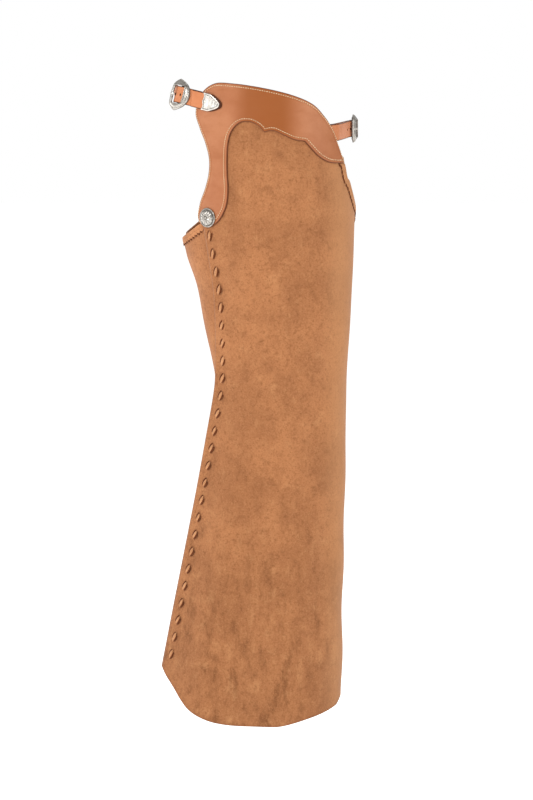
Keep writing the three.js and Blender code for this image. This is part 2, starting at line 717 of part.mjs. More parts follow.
function ease(from, to, low, high, value) {
  const t = THREE.MathUtils.smoothstep(value, Math.min(low, high), Math.max(low, high));
  return low < high ? THREE.MathUtils.lerp(from, to, t) : THREE.MathUtils.lerp(to, from, t);
}

// Rear strap places
const tipInside = 1.65; // tip's end past the yoke's edge, by tipLength
const tipEndAt = rearYokeEdgeAt - tipLength * tipInside;
const tipStartAt = tipEndAt + tipLength;
const rearRimNear = rearBuckleAt - rearBuckleWidth / 2;
const rearRimFar = rearBuckleAt + rearBuckleWidth / 2;

// The billet lies low beneath both ends of the frame and high over the bar and the fold
function rearBilletHeight(distance) {
  const near = ease(seat, billetOut, rearRimNear + barWidth, rearBuckleAt - chapeReturn + barWidth / 2, distance);
  const far = ease(near, chapeOut, rearBuckleAt + barWidth / 2, rearRimFar + barWidth / 2, distance);
  return ease(billetOnYoke, far, rearYokeEdgeAt, rearRimNear, distance);
}

const straight = () => strapWidth / 2;

// Point of the billet's end, narrowing over its last length
function pointed(endAt, length, least) {
  return (distance) => {
    const t = THREE.MathUtils.clamp(Math.abs(distance - endAt) / length, 0, 1);
    return THREE.MathUtils.lerp(least, strapWidth / 2, Math.pow(t, 0.6));
  };
}

const rearBilletEnd = tipEndAt + 2.5;
const rearFarEnd = rearTotal - rearYokeEdgeAt + anchorLength;
function rearBillet() {
  const half = pointed(rearBilletEnd, tipLength * 0.55, 1.5);
  const stations = stationsFrom(rearBilletEnd, [
    { to: rearYokeEdgeAt, steps: 8 },
    { to: rearRimNear, steps: 4 },
    { to: rearRimFar + barWidth, steps: 16 },
    { to: rearFarEnd, steps: 40 },
  ]);
  return strapSolid(rearLine, rearRise, stations, rearBilletHeight, half, strapWall);
}

function tipPlate() {
  const out = (d) => rearBilletHeight(d) + strapWall + seat;
  const half = (d) => pointed(tipEndAt, tipLength * 0.6, 1)(d) + 0.4;
  const stations = stationsFrom(tipEndAt, [{ to: tipStartAt, steps: 10 }]);
  return strapSolid(rearLine, rearRise, stations, out, half, tipWall);
}

// Folded strap: lower leaf, round the bar and back on top, as one closed ribbon
function chapeSolid(line, rise, barAt, anchorAt) {
  const toward = Math.sign(anchorAt - barAt);
  const lowSteps = 16;
  const turnSteps = 4;
  const topSteps = 4;
  const total = lowSteps + turnSteps + topSteps;
  const middle = (chapeOut + returnOut + strapWall) / 2;
  const bend = (returnOut + strapWall - chapeOut) / 2;
  const turnAt = barAt - toward * (barWidth / 2 + seat);
  return faceOut(warpedSheet(total, 1, (u, v, w) => {
    let distance;
    let out;
    if (u <= lowSteps) {
      distance = THREE.MathUtils.lerp(anchorAt, turnAt, u / lowSteps);
      out = chapeOut + strapWall * (1 - w);
    } else if (u < lowSteps + turnSteps) {
      const turn = ((u - lowSteps) / turnSteps) * Math.PI;
      const radius = bend - strapWall * (1 - w);
      distance = turnAt - toward * Math.sin(turn) * radius;
      out = middle - Math.cos(turn) * radius;
    } else {
      const share = (u - lowSteps - turnSteps) / topSteps;
      distance = THREE.MathUtils.lerp(turnAt, turnAt + toward * chapeReturn, share);
      out = returnOut + strapWall * w;
    }
    return strapPoint(line, rise, distance, out, strapWidth * (v - 0.5));
  }));
}

// Quarter of a buckle frame from the middle of its side to its point. Columns: rim shares of half
// the buckle's height and width, opening shares of half the opening's.
const frameRows = [
  { rimHigh: 0, rimWide: 1, openHigh: 0, openWide: 1 },
  { rimHigh: 0.18, rimWide: 0.98, openHigh: 0.3, openWide: 1 },
  { rimHigh: 0.34, rimWide: 0.94, openHigh: 0.6, openWide: 0.99 },
  { rimHigh: 0.5, rimWide: 0.92, openHigh: 0.85, openWide: 0.97 },
  { rimHigh: 0.66, rimWide: 0.88, openHigh: 0.97, openWide: 0.88 },
  { rimHigh: 0.8, rimWide: 0.62, openHigh: 1, openWide: 0.62 },
  { rimHigh: 0.93, rimWide: 0.32, openHigh: 1, openWide: 0.32 },
  { rimHigh: 1, rimWide: 0, openHigh: 1, openWide: 0 },
];
const openingWide = 0.52; // opening's share of the buckle's width

// Section of the frame from its opening outward: across its face and up its wall
const frameSection = [
  { across: 0, up: 0 },
  { across: 0, up: 0.7 },
  { across: 0.2, up: 1 },
  { across: 0.75, up: 1 },
  { across: 1, up: 0.55 },
  { across: 1, up: 0 },
];

// Closed ring from a torus whose corners are moved: i runs round the ring, j round its section
function warpedRing(ringSteps, sectionSteps, place) {
  const ring = new THREE.TorusGeometry(2, 1, sectionSteps, ringSteps);
  ring.deleteAttribute("normal");
  ring.deleteAttribute("uv");
  const position = ring.attributes.position;
  for (let k = 0; k < position.count; k += 1) {
    const i = k % (ringSteps + 1) % ringSteps;
    const j = Math.floor(k / (ringSteps + 1)) % sectionSteps;
    const p = place(i, j);
    position.setXYZ(k, p.x, p.y, p.z);
  }
  return faceOut(mergeVertices(ring, 1e-4));
}

function bodyOf(geometry) {
  const plain = geometry.clone();
  plain.deleteAttribute("normal");
  plain.deleteAttribute("uv");
  const merged = mergeVertices(plain, 1e-4);
  const mesh = new wasm.Mesh({
    numProp: 3,
    vertProperties: new Float32Array(merged.attributes.position.array),
    triVerts: new Uint32Array(merged.index.array),
  });
  return new wasm.Manifold(mesh);
}

function geometryOf(body) {
  const mesh = body.getMesh();
  const geometry = new THREE.BufferGeometry();
  geometry.setAttribute("position", new THREE.BufferAttribute(new Float32Array(mesh.vertProperties), 3));
  geometry.setIndex(new THREE.BufferAttribute(new Uint32Array(mesh.triVerts), 1));
  return faceOut(geometry);
}

// Underside of the domed frame above the strap
function domeAt(across) {
  return THREE.MathUtils.lerp(frameCrest, frameRim, Math.pow(across, domePower));
}

// Frame domed over the strap, with a bar across it held by a post at each end
function buckleFrame(height, width) {
  const halfHigh = height / 2;
  const halfWide = width / 2;
  const openHigh = strapWidth / 2 + buckleClearance;
  const openWide = halfWide * openingWide;
  const quarter = frameRows.length - 1;
  const ringSteps = quarter * 4;
  const frame = warpedRing(ringSteps, frameSection.length, (i, j) => {
    const lap = i % (2 * quarter);
    const row = frameRows[lap <= quarter ? lap : 2 * quarter - lap];
    const right = i <= quarter || i > 3 * quarter ? 1 : -1;
    const high = i <= 2 * quarter ? 1 : -1;
    const section = frameSection[j];
    const x = right * THREE.MathUtils.lerp(row.openWide * openWide, row.rimWide * halfWide, section.across);
    const y = high * THREE.MathUtils.lerp(row.openHigh * openHigh, row.rimHigh * halfHigh, section.across);
    const lean = hornLean * width * Math.pow(row.rimHigh, 2) * section.across;
    return new THREE.Vector3(x - lean, y, domeAt(section.across) + buckleWall * section.up);
  });
  const postAcross = 0.4; // how far out over the frame each post stands
  const barHigh = THREE.MathUtils.lerp(openHigh, halfHigh, postAcross);
  const bar = new THREE.BoxGeometry(barWidth, barHigh * 2, buckleWall, 1, 1, 1);
  bar.translate(0, 0, barOut + buckleWall / 2);
  const postHigh = barHigh - openHigh;
  const postTall = domeAt(postAcross) + buckleWall / 2 - barOut;
  let body = bodyOf(frame).add(bodyOf(bar));
  for (const end of [1, -1]) {
    const post = new THREE.BoxGeometry(barWidth, postHigh, postTall);
    post.translate(0, end * (openHigh + postHigh / 2), barOut + postTall / 2);
    body = body.add(bodyOf(post));
  }
  return geometryOf(body);
}

const prongFoot = barWidth / 2 + seat; // where the prong stands beside the bar
const prongClear = 0.5;
const prongStep = 3.4; // length over which the prong comes up through the billet

// Place along the strap where the prong has come up: just before the opening's end
function prongUpAt(width) {
  return width / 2 * openingWide - prongWall - seat;
}

// Hole in the billet and slot in the fold that let the prong through
function prongCut(width) {
  const wide = prongWidth + 2 * prongClear;
  const tall = billetOut + strapWall + 2;
  const from = barWidth / 2 - 0.7;
  const to = prongUpAt(width) + prongClear + prongWall / 2;
  const cut = new THREE.BoxGeometry(to - from, wide, tall);
  cut.translate(-(from + to) / 2, 0, tall / 2);
  return cut;
}

function cutBy(geometry, tool) {
  return geometryOf(bodyOf(geometry).subtract(bodyOf(tool)));
}

// Prong: from its loop on the bar, along beneath the billet, up through its hole and over the frame
function prongSolid(toward, width) {
  const crest = frameCrest + buckleWall;
  const up = prongUpAt(width);
  const overFrame = frameSection.slice(2, 4).map((section) => ({
    at: THREE.MathUtils.lerp(width / 2 * openingWide, width / 2, section.across),
    out: domeAt(section.across) + buckleWall * section.up + seat,
  }));
  const rows = [
    { at: prongFoot, out: barOut },
    { at: up - prongStep, out: barOut + 0.6 },
    { at: up - prongStep * 0.4, out: returnOut },
    { at: up, out: crest - prongWall },
    { at: up + prongWall, out: crest + seat / 2 },
    ...overFrame,
    { at: width / 2 - seat, out: frameRim + buckleWall },
  ];
  return faceOut(warpedSheet(rows.length - 1, 1, (u, v, w) => {
    const row = rows[u];
    const narrow = u === rows.length - 1 ? 0.6 : 1;
    const lean = w === 1 && u > 1 && u < 5 ? -prongWall * 0.6 : 0;
    return new THREE.Vector3(
      toward * (row.at + lean),
      (v - 0.5) * prongWidth * narrow,
      row.out + prongWall * w,
    );
  }));
}

// Move a piece made flat (x along the strap, y up, z outward) onto its line
function placeOn(geometry, line, rise, distance) {
  const f = frameAt(line, rise, distance);
  const across = new THREE.Vector3().crossVectors(f.up, f.outward);
  const matrix = new THREE.Matrix4().makeBasis(across, f.up, f.outward);
  matrix.setPosition(f.p);
  geometry.applyMatrix4(matrix);
  return faceOut(geometry);
}

const rearAnchorAt = rearYokeEdgeAt - anchorLength * 0.5;
const frontRimNear = frontBuckleAt - frontBuckleWidth / 2;
const frontRimFar = frontBuckleAt + frontBuckleWidth / 2;
function frontBilletHeight(distance) {
  const rise = ease(chapeOut, billetOut, frontRimNear - barWidth / 2, frontBuckleAt - barWidth / 2, distance);
  return ease(rise, seat, frontBuckleAt + chapeReturn - barWidth / 2, frontRimFar - barWidth, distance);
}

const frontBilletEnd = frontRimFar + strapWidth * 1.9;
function frontBillet() {
  const half = pointed(frontBilletEnd, strapWidth * 0.5, 2);
  const stations = stationsFrom(0, [
    { to: frontRimNear - barWidth, steps: 18 },
    { to: frontRimFar, steps: 16 },
    { to: frontBilletEnd, steps: 10 },
  ]);
  return strapSolid(frontLine, frontRise, stations, frontBilletHeight, half, strapWall);
}

// Materials
const suede = { color: 0xbe7f52, roughness: 0.95, metalness: 0 };
const smooth = { color: 0xc4825a, roughness: 0.5, metalness: 0 };
const strap = { color: 0xd8895f, roughness: 0.5, metalness: 0 };
const thong = { color: 0xb98a63, roughness: 0.9, metalness: 0 };
const silver = { color: 0xa9a7a1, roughness: 0.32, metalness: 1 };

const group = new THREE.Group();
function add(name, geometry, look) {
  const mesh = new THREE.Mesh(geometry, new THREE.MeshStandardMaterial(look));
  mesh.name = name;
  group.add(mesh);
}

// A left piece is its right piece reflected across the middle
function reflected(geometry) {
  const copy = geometry.clone();
  copy.applyMatrix4(new THREE.Matrix4().makeScale(1, -1, 1));
  return faceOut(copy);
}

function addPair(name, geometry, look) {
  add(`right_${name}`, geometry, look);
  add(`left_${name}`, reflected(geometry), look);
}

addPair("leg", legSolid(), suede);
addPair("hem_strip", facingSolid(), suede);
addPair("seam_lace", laceSolid(), thong);
addPair("yoke", yokeSolid(), smooth);
addPair("concho", conchoSolid(), silver);
const rearCut = placeOn(prongCut(rearBuckleWidth), rearLine, rearRise, rearBuckleAt);
const frontCut = placeOn(prongCut(frontBuckleWidth), frontLine, frontRise, frontBuckleAt);
add("rear_billet", cutBy(rearBillet(), rearCut), strap);
add("rear_billet_tip", tipPlate(), silver);
add("rear_buckle_strap", cutBy(chapeSolid(rearLine, rearRise, rearBuckleAt, rearAnchorAt), rearCut), strap);
add("rear_buckle", placeOn(buckleFrame(rearBuckleHeight, rearBuckleWidth), rearLine, rearRise, rearBuckleAt), silver);
add("rear_prong", placeOn(prongSolid(-1, rearBuckleWidth), rearLine, rearRise, rearBuckleAt), silver);
add("front_billet", cutBy(frontBillet(), frontCut), strap);
add("front_buckle_strap", cutBy(chapeSolid(frontLine, frontRise, frontBuckleAt, frontTotal), frontCut), strap);
add("front_buckle", placeOn(buckleFrame(frontBuckleHeight, frontBuckleWidth), frontLine, frontRise, frontBuckleAt), silver);
add("front_prong", placeOn(prongSolid(-1, frontBuckleWidth), frontLine, frontRise, frontBuckleAt), silver);

export default group;
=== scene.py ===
import math

import bpy
import numpy as np
from mathutils import Matrix, Vector


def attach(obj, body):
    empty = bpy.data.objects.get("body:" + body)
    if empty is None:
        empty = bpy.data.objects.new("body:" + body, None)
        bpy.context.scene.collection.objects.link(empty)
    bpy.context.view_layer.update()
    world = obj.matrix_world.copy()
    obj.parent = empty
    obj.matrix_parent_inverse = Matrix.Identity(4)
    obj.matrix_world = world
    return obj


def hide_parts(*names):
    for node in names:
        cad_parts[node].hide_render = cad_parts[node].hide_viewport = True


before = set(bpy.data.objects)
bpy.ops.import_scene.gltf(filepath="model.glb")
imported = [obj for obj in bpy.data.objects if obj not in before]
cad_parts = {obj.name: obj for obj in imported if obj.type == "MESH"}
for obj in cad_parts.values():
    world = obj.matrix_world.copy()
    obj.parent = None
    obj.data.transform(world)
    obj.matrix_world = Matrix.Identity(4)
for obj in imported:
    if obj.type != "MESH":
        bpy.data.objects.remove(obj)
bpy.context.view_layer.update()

# the camera stands at the photograph's angle
cameraSettings = {"target": (0.00465, 0.0, -0.465), "distance": 3.5, "elevation": 7.2, "lens": 98.7,
                  "sensor": 36, "farthest": 60}


def makeCamera():
    target = Vector(cameraSettings["target"])
    rise = math.radians(cameraSettings["elevation"])
    away = Vector((0, -math.cos(rise), math.sin(rise))) * cameraSettings["distance"]
    data = bpy.data.cameras.new("camera")
    data.lens = cameraSettings["lens"]
    data.sensor_width = cameraSettings["sensor"]
    data.clip_end = cameraSettings["farthest"]
    camera = bpy.data.objects.new("camera", data)
    bpy.context.scene.collection.objects.link(camera)
    camera.location = target + away
    camera.rotation_euler = (-away).to_track_quat("-Z", "Y").to_euler()
    bpy.context.scene.camera = camera
    bpy.context.scene.view_settings.view_transform = "Standard"


makeCamera()

# the body shape, in the same shares as the solids
bodySizes = {"drop": 0.951, "depth": 0.283, "width": 0.350, "crotch": 0.207, "yoke": 0.183,
             "widest": 0.46, "rearPower": 2.2, "frontPower": 2.3, "innerPower": 2.2, "frontEnds": 1.4}
leather = {"suede": 0.002, "yoke": 0.0024, "strap": 0.002, "facing": 0.0012,
           "seat": 0.0003, "yokeSeat": 0.0005, "lapGap": 0.001}

sectionNames = ("down", "seam", "front", "outer", "inner",
                "seamAside", "frontAside", "tuckBack", "tuckAside", "reach")
sectionRows = np.array([
    (-0.06, -0.366, 0.494, 0.500, 0.040, 0.383, 0.020, 0.250, 0.200, 1.40),
    (0.03, -0.366, 0.496, 0.502, 0.040, 0.383, 0.050, 0.250, 0.200, 1.40),
    (0.08, -0.362, 0.500, 0.506, 0.040, 0.384, 0.120, 0.250, 0.200, 1.40),
    (0.143, -0.345, 0.500, 0.509, 0.040, 0.386, 0.190, 0.250, 0.200, 1.40),
    (0.2, -0.318, 0.495, 0.511, 0.040, 0.396, 0.229, 0.250, 0.200, 1.40),
    (0.243, -0.296, 0.489, 0.511, 0.044, 0.402, 0.247, 0.262, 0.181, 1.30),
    (0.293, -0.272, 0.483, 0.509, 0.055, 0.406, 0.260, 0.222, 0.140, 1.10),
    (0.35, -0.262, 0.474, 0.502, 0.073, 0.405, 0.270, 0.165, 0.109, 0.97),
    (0.41, -0.261, 0.463, 0.494, 0.088, 0.401, 0.278, 0.080, 0.080, 0.85),
    (0.45, -0.267, 0.457, 0.491, 0.090, 0.394, 0.280, 0.027, 0.068, 0.80),
    (0.53, -0.313, 0.454, 0.490, 0.090, 0.379, 0.280, 0.020, 0.060, 0.80),
    (0.63, -0.375, 0.448, 0.494, 0.086, 0.363, 0.280, 0.020, 0.060, 0.80),
    (0.727, -0.439, 0.445, 0.500, 0.080, 0.350, 0.280, 0.020, 0.060, 0.80),
    (0.9, -0.555, 0.435, 0.514, 0.068, 0.335, 0.280, 0.020, 0.060, 0.80),
    (1.01, -0.625, 0.430, 0.522, 0.060, 0.330, 0.280, 0.020, 0.060, 0.80)])

hemRows = np.array([  # around the leg, drop
    (0, 0.914), (0.03, 0.927), (0.085, 0.945), (0.137, 0.963), (0.186, 0.976), (0.255, 0.986),
    (0.339, 0.993),
    (0.5, 0.999), (0.66, 1), (0.825, 0.989), (0.97, 0.976), (1, 0.966), (1.2, 0.955), (1.6, 0.945),
    (1.9, 0.922), (2, 0.914)])

topRows = np.array([  # around, share of the yoke's drop, share of the crotch's drop
    (0, 0.9, 0), (0.08, 0.87, 0), (0.12, 0.76, 0), (0.153, 0.55, 0), (0.192, 0.25, 0), (0.24, 0.12, 0),
    (0.31, 0.055, 0), (0.37, 0.068, 0), (0.43, 0.135, 0), (0.51, 0.135, 0), (0.565, 0.18, 0), (0.62, 0.2, 0),
    (0.68, 0.215, 0), (0.735, 0.315, 0), (0.81, 0.385, 0), (0.89, 0.4, 0), (0.917, 0.42, 0), (0.93, 0, 0.46),
    (0.957, 0, 0.56), (0.985, 0, 0.68), (1, 0, 0.74), (1.1, 0, 0.86), (1.25, 0, 0.97), (1.5, 0, 1),
    (1.8, 0, 0.975), (1.9, 0, 0.935), (2, 0, 0.845)])

yokeRows = np.array([  # outer edge along and down, inner edge along and down, cusp
    (0.02, 1.0, 0.053, 0.999, 0), (-0.011, 0.972, 0.099, 0.961, 0), (-0.02, 0.922, 0.137, 0.906, 0),
    (0.005, 0.807, 0.176, 0.809, 0), (0.048, 0.685, 0.194, 0.682, 0), (0.079, 0.561, 0.196, 0.559, 0),
    (0.088, 0.435, 0.2, 0.434, 0), (0.069, 0.308, 0.209, 0.311, 0), (0.035, 0.182, 0.227, 0.226, 0),
    (0.011, 0.055, 0.258, 0.167, 0), (0.057, -0.111, 0.293, 0.137, 0), (0.134, -0.178, 0.325, 0.133, 0),
    (0.25, -0.174, 0.355, 0.139, 0), (0.35, -0.156, 0.397, 0.17, 0), (0.441, -0.134, 0.428, 0.218, 1),
    (0.5, -0.117, 0.48, 0.206, 0), (0.57, -0.093, 0.55, 0.246, 0), (0.63, -0.067, 0.61, 0.281, 0),
    (0.69, -0.034, 0.673, 0.294, 1), (0.74, 0.008, 0.712, 0.355, 0), (0.783, 0.07, 0.76, 0.422, 0),
    (0.835, 0.169, 0.82, 0.466, 0), (0.874, 0.31, 0.88, 0.475, 0), (0.908, 0.457, 0.906, 0.473, 0)])

foldRows = ((0.3, 0.12, 0.014, 0.45), (0.55, 0.1, -0.01, 0.4), (0.78, 0.1, 0.012, 0.42),
            (1.3, 0.12, 0.012, 0.45), (1.6, 0.12, -0.012, 0.45))  # at, half width, depth, from


def smoothStep(low, high, value):
    t = np.clip((np.asarray(value, float) - low) / (high - low), 0, 1)
    return t * t * (3 - 2 * t)


def lerp(a, b, t):
    return a + (b - a) * t


def tableValue(at, values, wanted):
    # a smooth curve through a table that never overshoots it
    at, values = np.asarray(at, float), np.asarray(values, float)
    last = len(at) - 1
    x = np.clip(np.asarray(wanted, float), at[0], at[last])
    i = np.clip(np.searchsorted(at, x, side="left") - 1, 0, last - 1)
    low, high = np.maximum(np.arange(last + 1) - 1, 0), np.minimum(np.arange(last + 1) + 1, last)
    slopes = (values[high] - values[low]) / (at[high] - at[low])
    step, rise = at[i + 1] - at[i], values[i + 1] - values[i]
    flat = np.abs(rise) / step * 3

    def limited(s):
        return np.where(s * rise <= 0, 0, np.clip(s, -flat, flat)) * step

    t = (x - at[i]) / step
    h = t * t * (3 - 2 * t)
    leave, arrive = limited(slopes[i]), limited(slopes[i + 1])
    return values[i] + rise * h + leave * t * (1 - t) ** 2 - arrive * t * t * (1 - t)


def sectionAt(z):
    # one level of the right leg: where its seam, front, outside and inside lie
    down = -np.asarray(z, float) / bodySizes["drop"]
    raw = {n: tableValue(sectionRows[:, 0], sectionRows[:, k], down) for k, n in enumerate(sectionNames) if k}
    depth, width = bodySizes["depth"], bodySizes["width"]
    s = {"seamX": raw["seam"] * depth, "frontX": raw["front"] * depth, "outerY": -raw["outer"] * width,
         "innerY": -raw["inner"] * width, "seamY": -raw["seamAside"] * width,
         "frontY": -raw["frontAside"] * width,
         "tuckBack": raw["tuckBack"] * depth, "tuckAside": raw["tuckAside"] * width, "reach": raw["reach"]}
    s["widestX"] = lerp(s["seamX"], s["frontX"], bodySizes["widest"])
    s["innerX"] = lerp(s["seamX"], s["frontX"], 0.5)
    return s


def outerY(x, z):
    # the outside of the right hip and leg
    s = sectionAt(z)
    x = np.asarray(x, float)
    back = np.maximum((s["widestX"] - x) / (s["widestX"] - s["seamX"]), 0)
    rear = s["outerY"] + (s["seamY"] - s["outerY"]) * back ** bodySizes["rearPower"]
    t = np.clip((x - s["widestX"]) / (s["frontX"] - s["widestX"]), 0, 1)
    p = bodySizes["frontPower"]
    front = s["frontY"] + (s["outerY"] - s["frontY"]) * (1 - t ** p) ** (1 / p)
    return np.where(x < s["widestX"], rear, front)


def foldDepth(around, z):
    down = -np.asarray(z, float) / bodySizes["drop"]
    total = 0
    for at, half, depth, start in foldRows:
        here = np.exp(-((around - at) / half) ** 2)
        total = total + depth * bodySizes["depth"] * smoothStep(start, 1, down) * here
    return total


def unit(v):
    return v / np.maximum(np.linalg.norm(v, axis=-1, keepdims=True), 1e-12)


def outerNormal(x, z):
    step = 0.001
    dx = (outerY(x + step, z) - outerY(x - step, z)) / (2 * step)
    dz = (outerY(x, z + step) - outerY(x, z - step)) / (2 * step)
    return unit(np.stack([dx, -np.ones_like(dx), dz], -1))


def onSide(x, z, out):
    x, z = np.broadcast_arrays(np.asarray(x, float), np.asarray(z, float))
    return np.stack([x, outerY(x, z), z], -1) + outerNormal(x, z) * np.asarray(out)[..., None]


def panelPoint(around, z):
    # around runs from the seam at 0 by the front at 1 and back inside to 2, and past 2 on the lap
    around, z = np.broadcast_arrays(np.asarray(around, float), np.asarray(z, float))
    s = sectionAt(z)
    fold = foldDepth(around, z)
    ends = bodySizes["frontEnds"]
    outX = lerp(s["seamX"], s["frontX"], np.where(around > 2, around - 2, around))
    outer = np.stack([outX, outerY(outX, z) - np.where(around > 2, 0, fold), z], -1)
    turn = np.clip((around - 1) / (ends - 1), 0, 1) * math.pi / 2
    power = 2 / bodySizes["innerPower"]
    bendX = lerp(s["innerX"], s["frontX"], np.maximum(np.cos(turn), 0) ** power)
    bendY = lerp(s["frontY"], s["innerY"], np.sin(turn) ** power)
    bend = np.stack([bendX, bendY + fold, z], -1)
    n = outerNormal(s["seamX"], z)
    under = leather["suede"] + leather["lapGap"]
    endX, endY = s["seamX"] - n[..., 0] * under, s["seamY"] - n[..., 1] * under
    t = np.clip((around - ends) / (2 - ends), 0, 1)
    a, b, c, d = (1 - t) ** 3, 3 * t * (1 - t) ** 2, 3 * t * t * (1 - t), t ** 3
    straight = s["innerX"] - (s["innerX"] - s["seamX"]) * s["reach"]
    backX = a * s["innerX"] + b * straight + c * (endX - s["tuckBack"]) + d * endX
    backY = a * s["innerY"] + b * s["innerY"] + c * (endY + s["tuckAside"]) + d * endY
    back = np.stack([backX, backY + fold, z], -1)
    kind = around[..., None]
    return np.where((kind <= 1) | (kind > 2), outer, np.where(kind <= ends, bend, back))


def panelNormal(around, z):
    step, rise = 0.004, 0.002
    across = panelPoint(around + step, z) - panelPoint(np.maximum(around - step, 0), z)
    up = panelPoint(around, z + rise) - panelPoint(around, z - rise)
    return unit(np.cross(across, up))


def hemZ(around):
    at = np.where(around > 2, around - 2, around)
    return -tableValue(hemRows[:, 0], hemRows[:, 1], at) * bodySizes["drop"]


def topZ(around):
    at = np.minimum(around, 2)
    return -(tableValue(topRows[:, 0], topRows[:, 1], at) * bodySizes["yoke"]
             + tableValue(topRows[:, 0], topRows[:, 2], at) * bodySizes["crotch"])


# meshes from points and faces
def meshPiece(name, points, faces, look, marks=None, smooth=True):
    points = np.asarray(points, float).reshape(-1, 3)
    tris = np.array([(f[0], f[i], f[i + 1]) for f in faces for i in range(1, len(f) - 1)])
    a, b, c = points[tris[:, 0]], points[tris[:, 1]], points[tris[:, 2]]
    if np.einsum("ij,ij->i", a, np.cross(b, c)).sum() < 0:
        faces = [tuple(reversed(f)) for f in faces]
    data = bpy.data.meshes.new(name)
    data.from_pydata(points.tolist(), [], faces)
    for mark, values in (marks or {}).items():
        layer = data.attributes.new(mark, "FLOAT", "POINT")
        layer.data.foreach_set("value", np.asarray(values, np.float32).ravel())
    data.polygons.foreach_set("use_smooth", [smooth] * len(data.polygons))
    data.materials.append(look)
    piece = bpy.data.objects.new(name, data)
    bpy.context.scene.collection.objects.link(piece)
    return piece


def tubeFaces(nu, nv, closeU, start=0):
    # quads of a grid whose v runs round a closed section; ends capped unless u closes too
    faces = []
    for i in range(nu if closeU else nu - 1):
        k = (i + 1) % nu
        for j in range(nv):
            m = (j + 1) % nv
            faces.append((start + i * nv + j, start + k * nv + j, start + k * nv + m, start + i * nv + m))
    if not closeU:
        faces.append(tuple(start + j for j in range(nv)))
        faces.append(tuple(start + (nu - 1) * nv + j for j in reversed(range(nv))))
    return faces


def shellPiece(name, outer, inner, look, marks=None):
    # closed sheet from its two faces, each a grid of points
    nu, nv = outer.shape[:2]
    ring = np.concatenate([outer, inner[:, ::-1]], 1)
    faces = []
    width = 2 * nv
    for i in range(nu - 1):
        for j in range(width):
            m = (j + 1) % width
            faces.append((i * width + j, (i + 1) * width + j, (i + 1) * width + m, i * width + m))
    for i in (0, nu - 1):
        for j in range(nv - 1):
            quad = (i * width + j, i * width + j + 1, i * width + width - 2 - j, i * width + width - 1 - j)
            faces.append(quad if i == 0 else tuple(reversed(quad)))
    full = {}
    for mark, values in (marks or {}).items():
        full[mark] = np.concatenate([values, values[:, ::-1]], 1)
    return meshPiece(name, ring, faces, look, full)


def mirrorCopy(piece, name):
    data = piece.data.copy()
    data.transform(Matrix.Scale(-1, 4, (0, 1, 0)))
    data.flip_normals()
    copy = bpy.data.objects.new(name, data)
    bpy.context.scene.collection.objects.link(copy)
    return copy


# looks
def tone(code):
    parts = [int(code[i:i + 2], 16) / 255 for i in (0, 2, 4)]
    return tuple(p / 12.92 if p <= 0.04045 else ((p + 0.055) / 1.055) ** 2.4 for p in parts) + (1.0,)


class Wire:
    # a node's output, whose sums and products are Math nodes
    def __init__(self, look, socket):
        self.look, self.socket = look, socket

    def maths(self, kind, *terms):
        return self.look.node("ShaderNodeMath", {"operation": kind}, dict(enumerate(terms)))

    def __add__(self, other):
        return self.maths("ADD", self, other)

    def __radd__(self, other):
        return self.maths("ADD", other, self)

    def __sub__(self, other):
        return self.maths("SUBTRACT", self, other)

    def __rsub__(self, other):
        return self.maths("SUBTRACT", other, self)

    def __mul__(self, other):
        return self.maths("MULTIPLY", self, other)

    def __rmul__(self, other):
        return self.maths("MULTIPLY", other, self)


class Look:
    def __init__(self, name, **fixed):
        self.material = bpy.data.materials.new(name)
        self.material.use_nodes = True
        self.tree = self.material.node_tree
        self.tree.nodes.clear()
        self.shader = self.tree.nodes.new("ShaderNodeBsdfPrincipled")
        output = self.tree.nodes.new("ShaderNodeOutputMaterial")
        self.tree.links.new(self.shader.outputs[0], output.inputs[0])
        for socket, value in fixed.items():
            self.shader.inputs[socket.replace("_", " ")].default_value = value
        self.place = self.node("ShaderNodeTexCoord", out="Object")

    def node(self, kind, settings=None, sockets=None, out=0):
        made = self.tree.nodes.new(kind)
        for key, value in (settings or {}).items():
            setattr(made, key, value)
        for key, value in (sockets or {}).items():
            self.feed(made.inputs[key], value)
        return Wire(self, made.outputs[out])

    def feed(self, socket, value):
        if isinstance(value, Wire):
            self.tree.links.new(value.socket, socket)
        else:
            socket.default_value = value

    def noise(self, scale, detail=3.0, rough=0.55, vector=None):
        return self.node("ShaderNodeTexNoise", None, {"Vector": vector or self.place, "Scale": scale,
                                                      "Detail": detail, "Roughness": rough})

    def stretched(self, x, y, z, slant=0.0):
        return self.node("ShaderNodeMapping", None, {"Vector": self.place, "Scale": (x, y, z),
                                                     "Rotation": (0, slant, 0)})

    def band(self, value, low, high, first=0.0, last=1.0):
        return self.node("ShaderNodeMapRange", {"interpolation_type": "SMOOTHSTEP"},
                         {"Value": value, "From Min": low, "From Max": high, "To Min": first, "To Max": last})

    def along(self, axis):
        return self.node("ShaderNodeSeparateXYZ", None, {0: self.place}, out=axis)

    def mark(self, name):
        return self.node("ShaderNodeAttribute", {"attribute_name": name}, out="Fac")

    def blend(self, share, a, b):
        return self.node("ShaderNodeMix", {"data_type": "RGBA"}, {0: share, 6: a, 7: b}, out=2)

    def done(self, colour, roughness=None, height=None, strength=0.3, depth=0.001, metal=None):
        self.feed(self.shader.inputs["Base Color"], colour)
        if roughness is not None:
            self.feed(self.shader.inputs["Roughness"], roughness)
        if metal is not None:
            self.feed(self.shader.inputs["Metallic"], metal)
        if height is not None:
            bump = self.node("ShaderNodeBump", None,
                             {"Strength": strength, "Distance": depth, "Height": height})
            self.feed(self.shader.inputs["Normal"], bump)
        return self.material


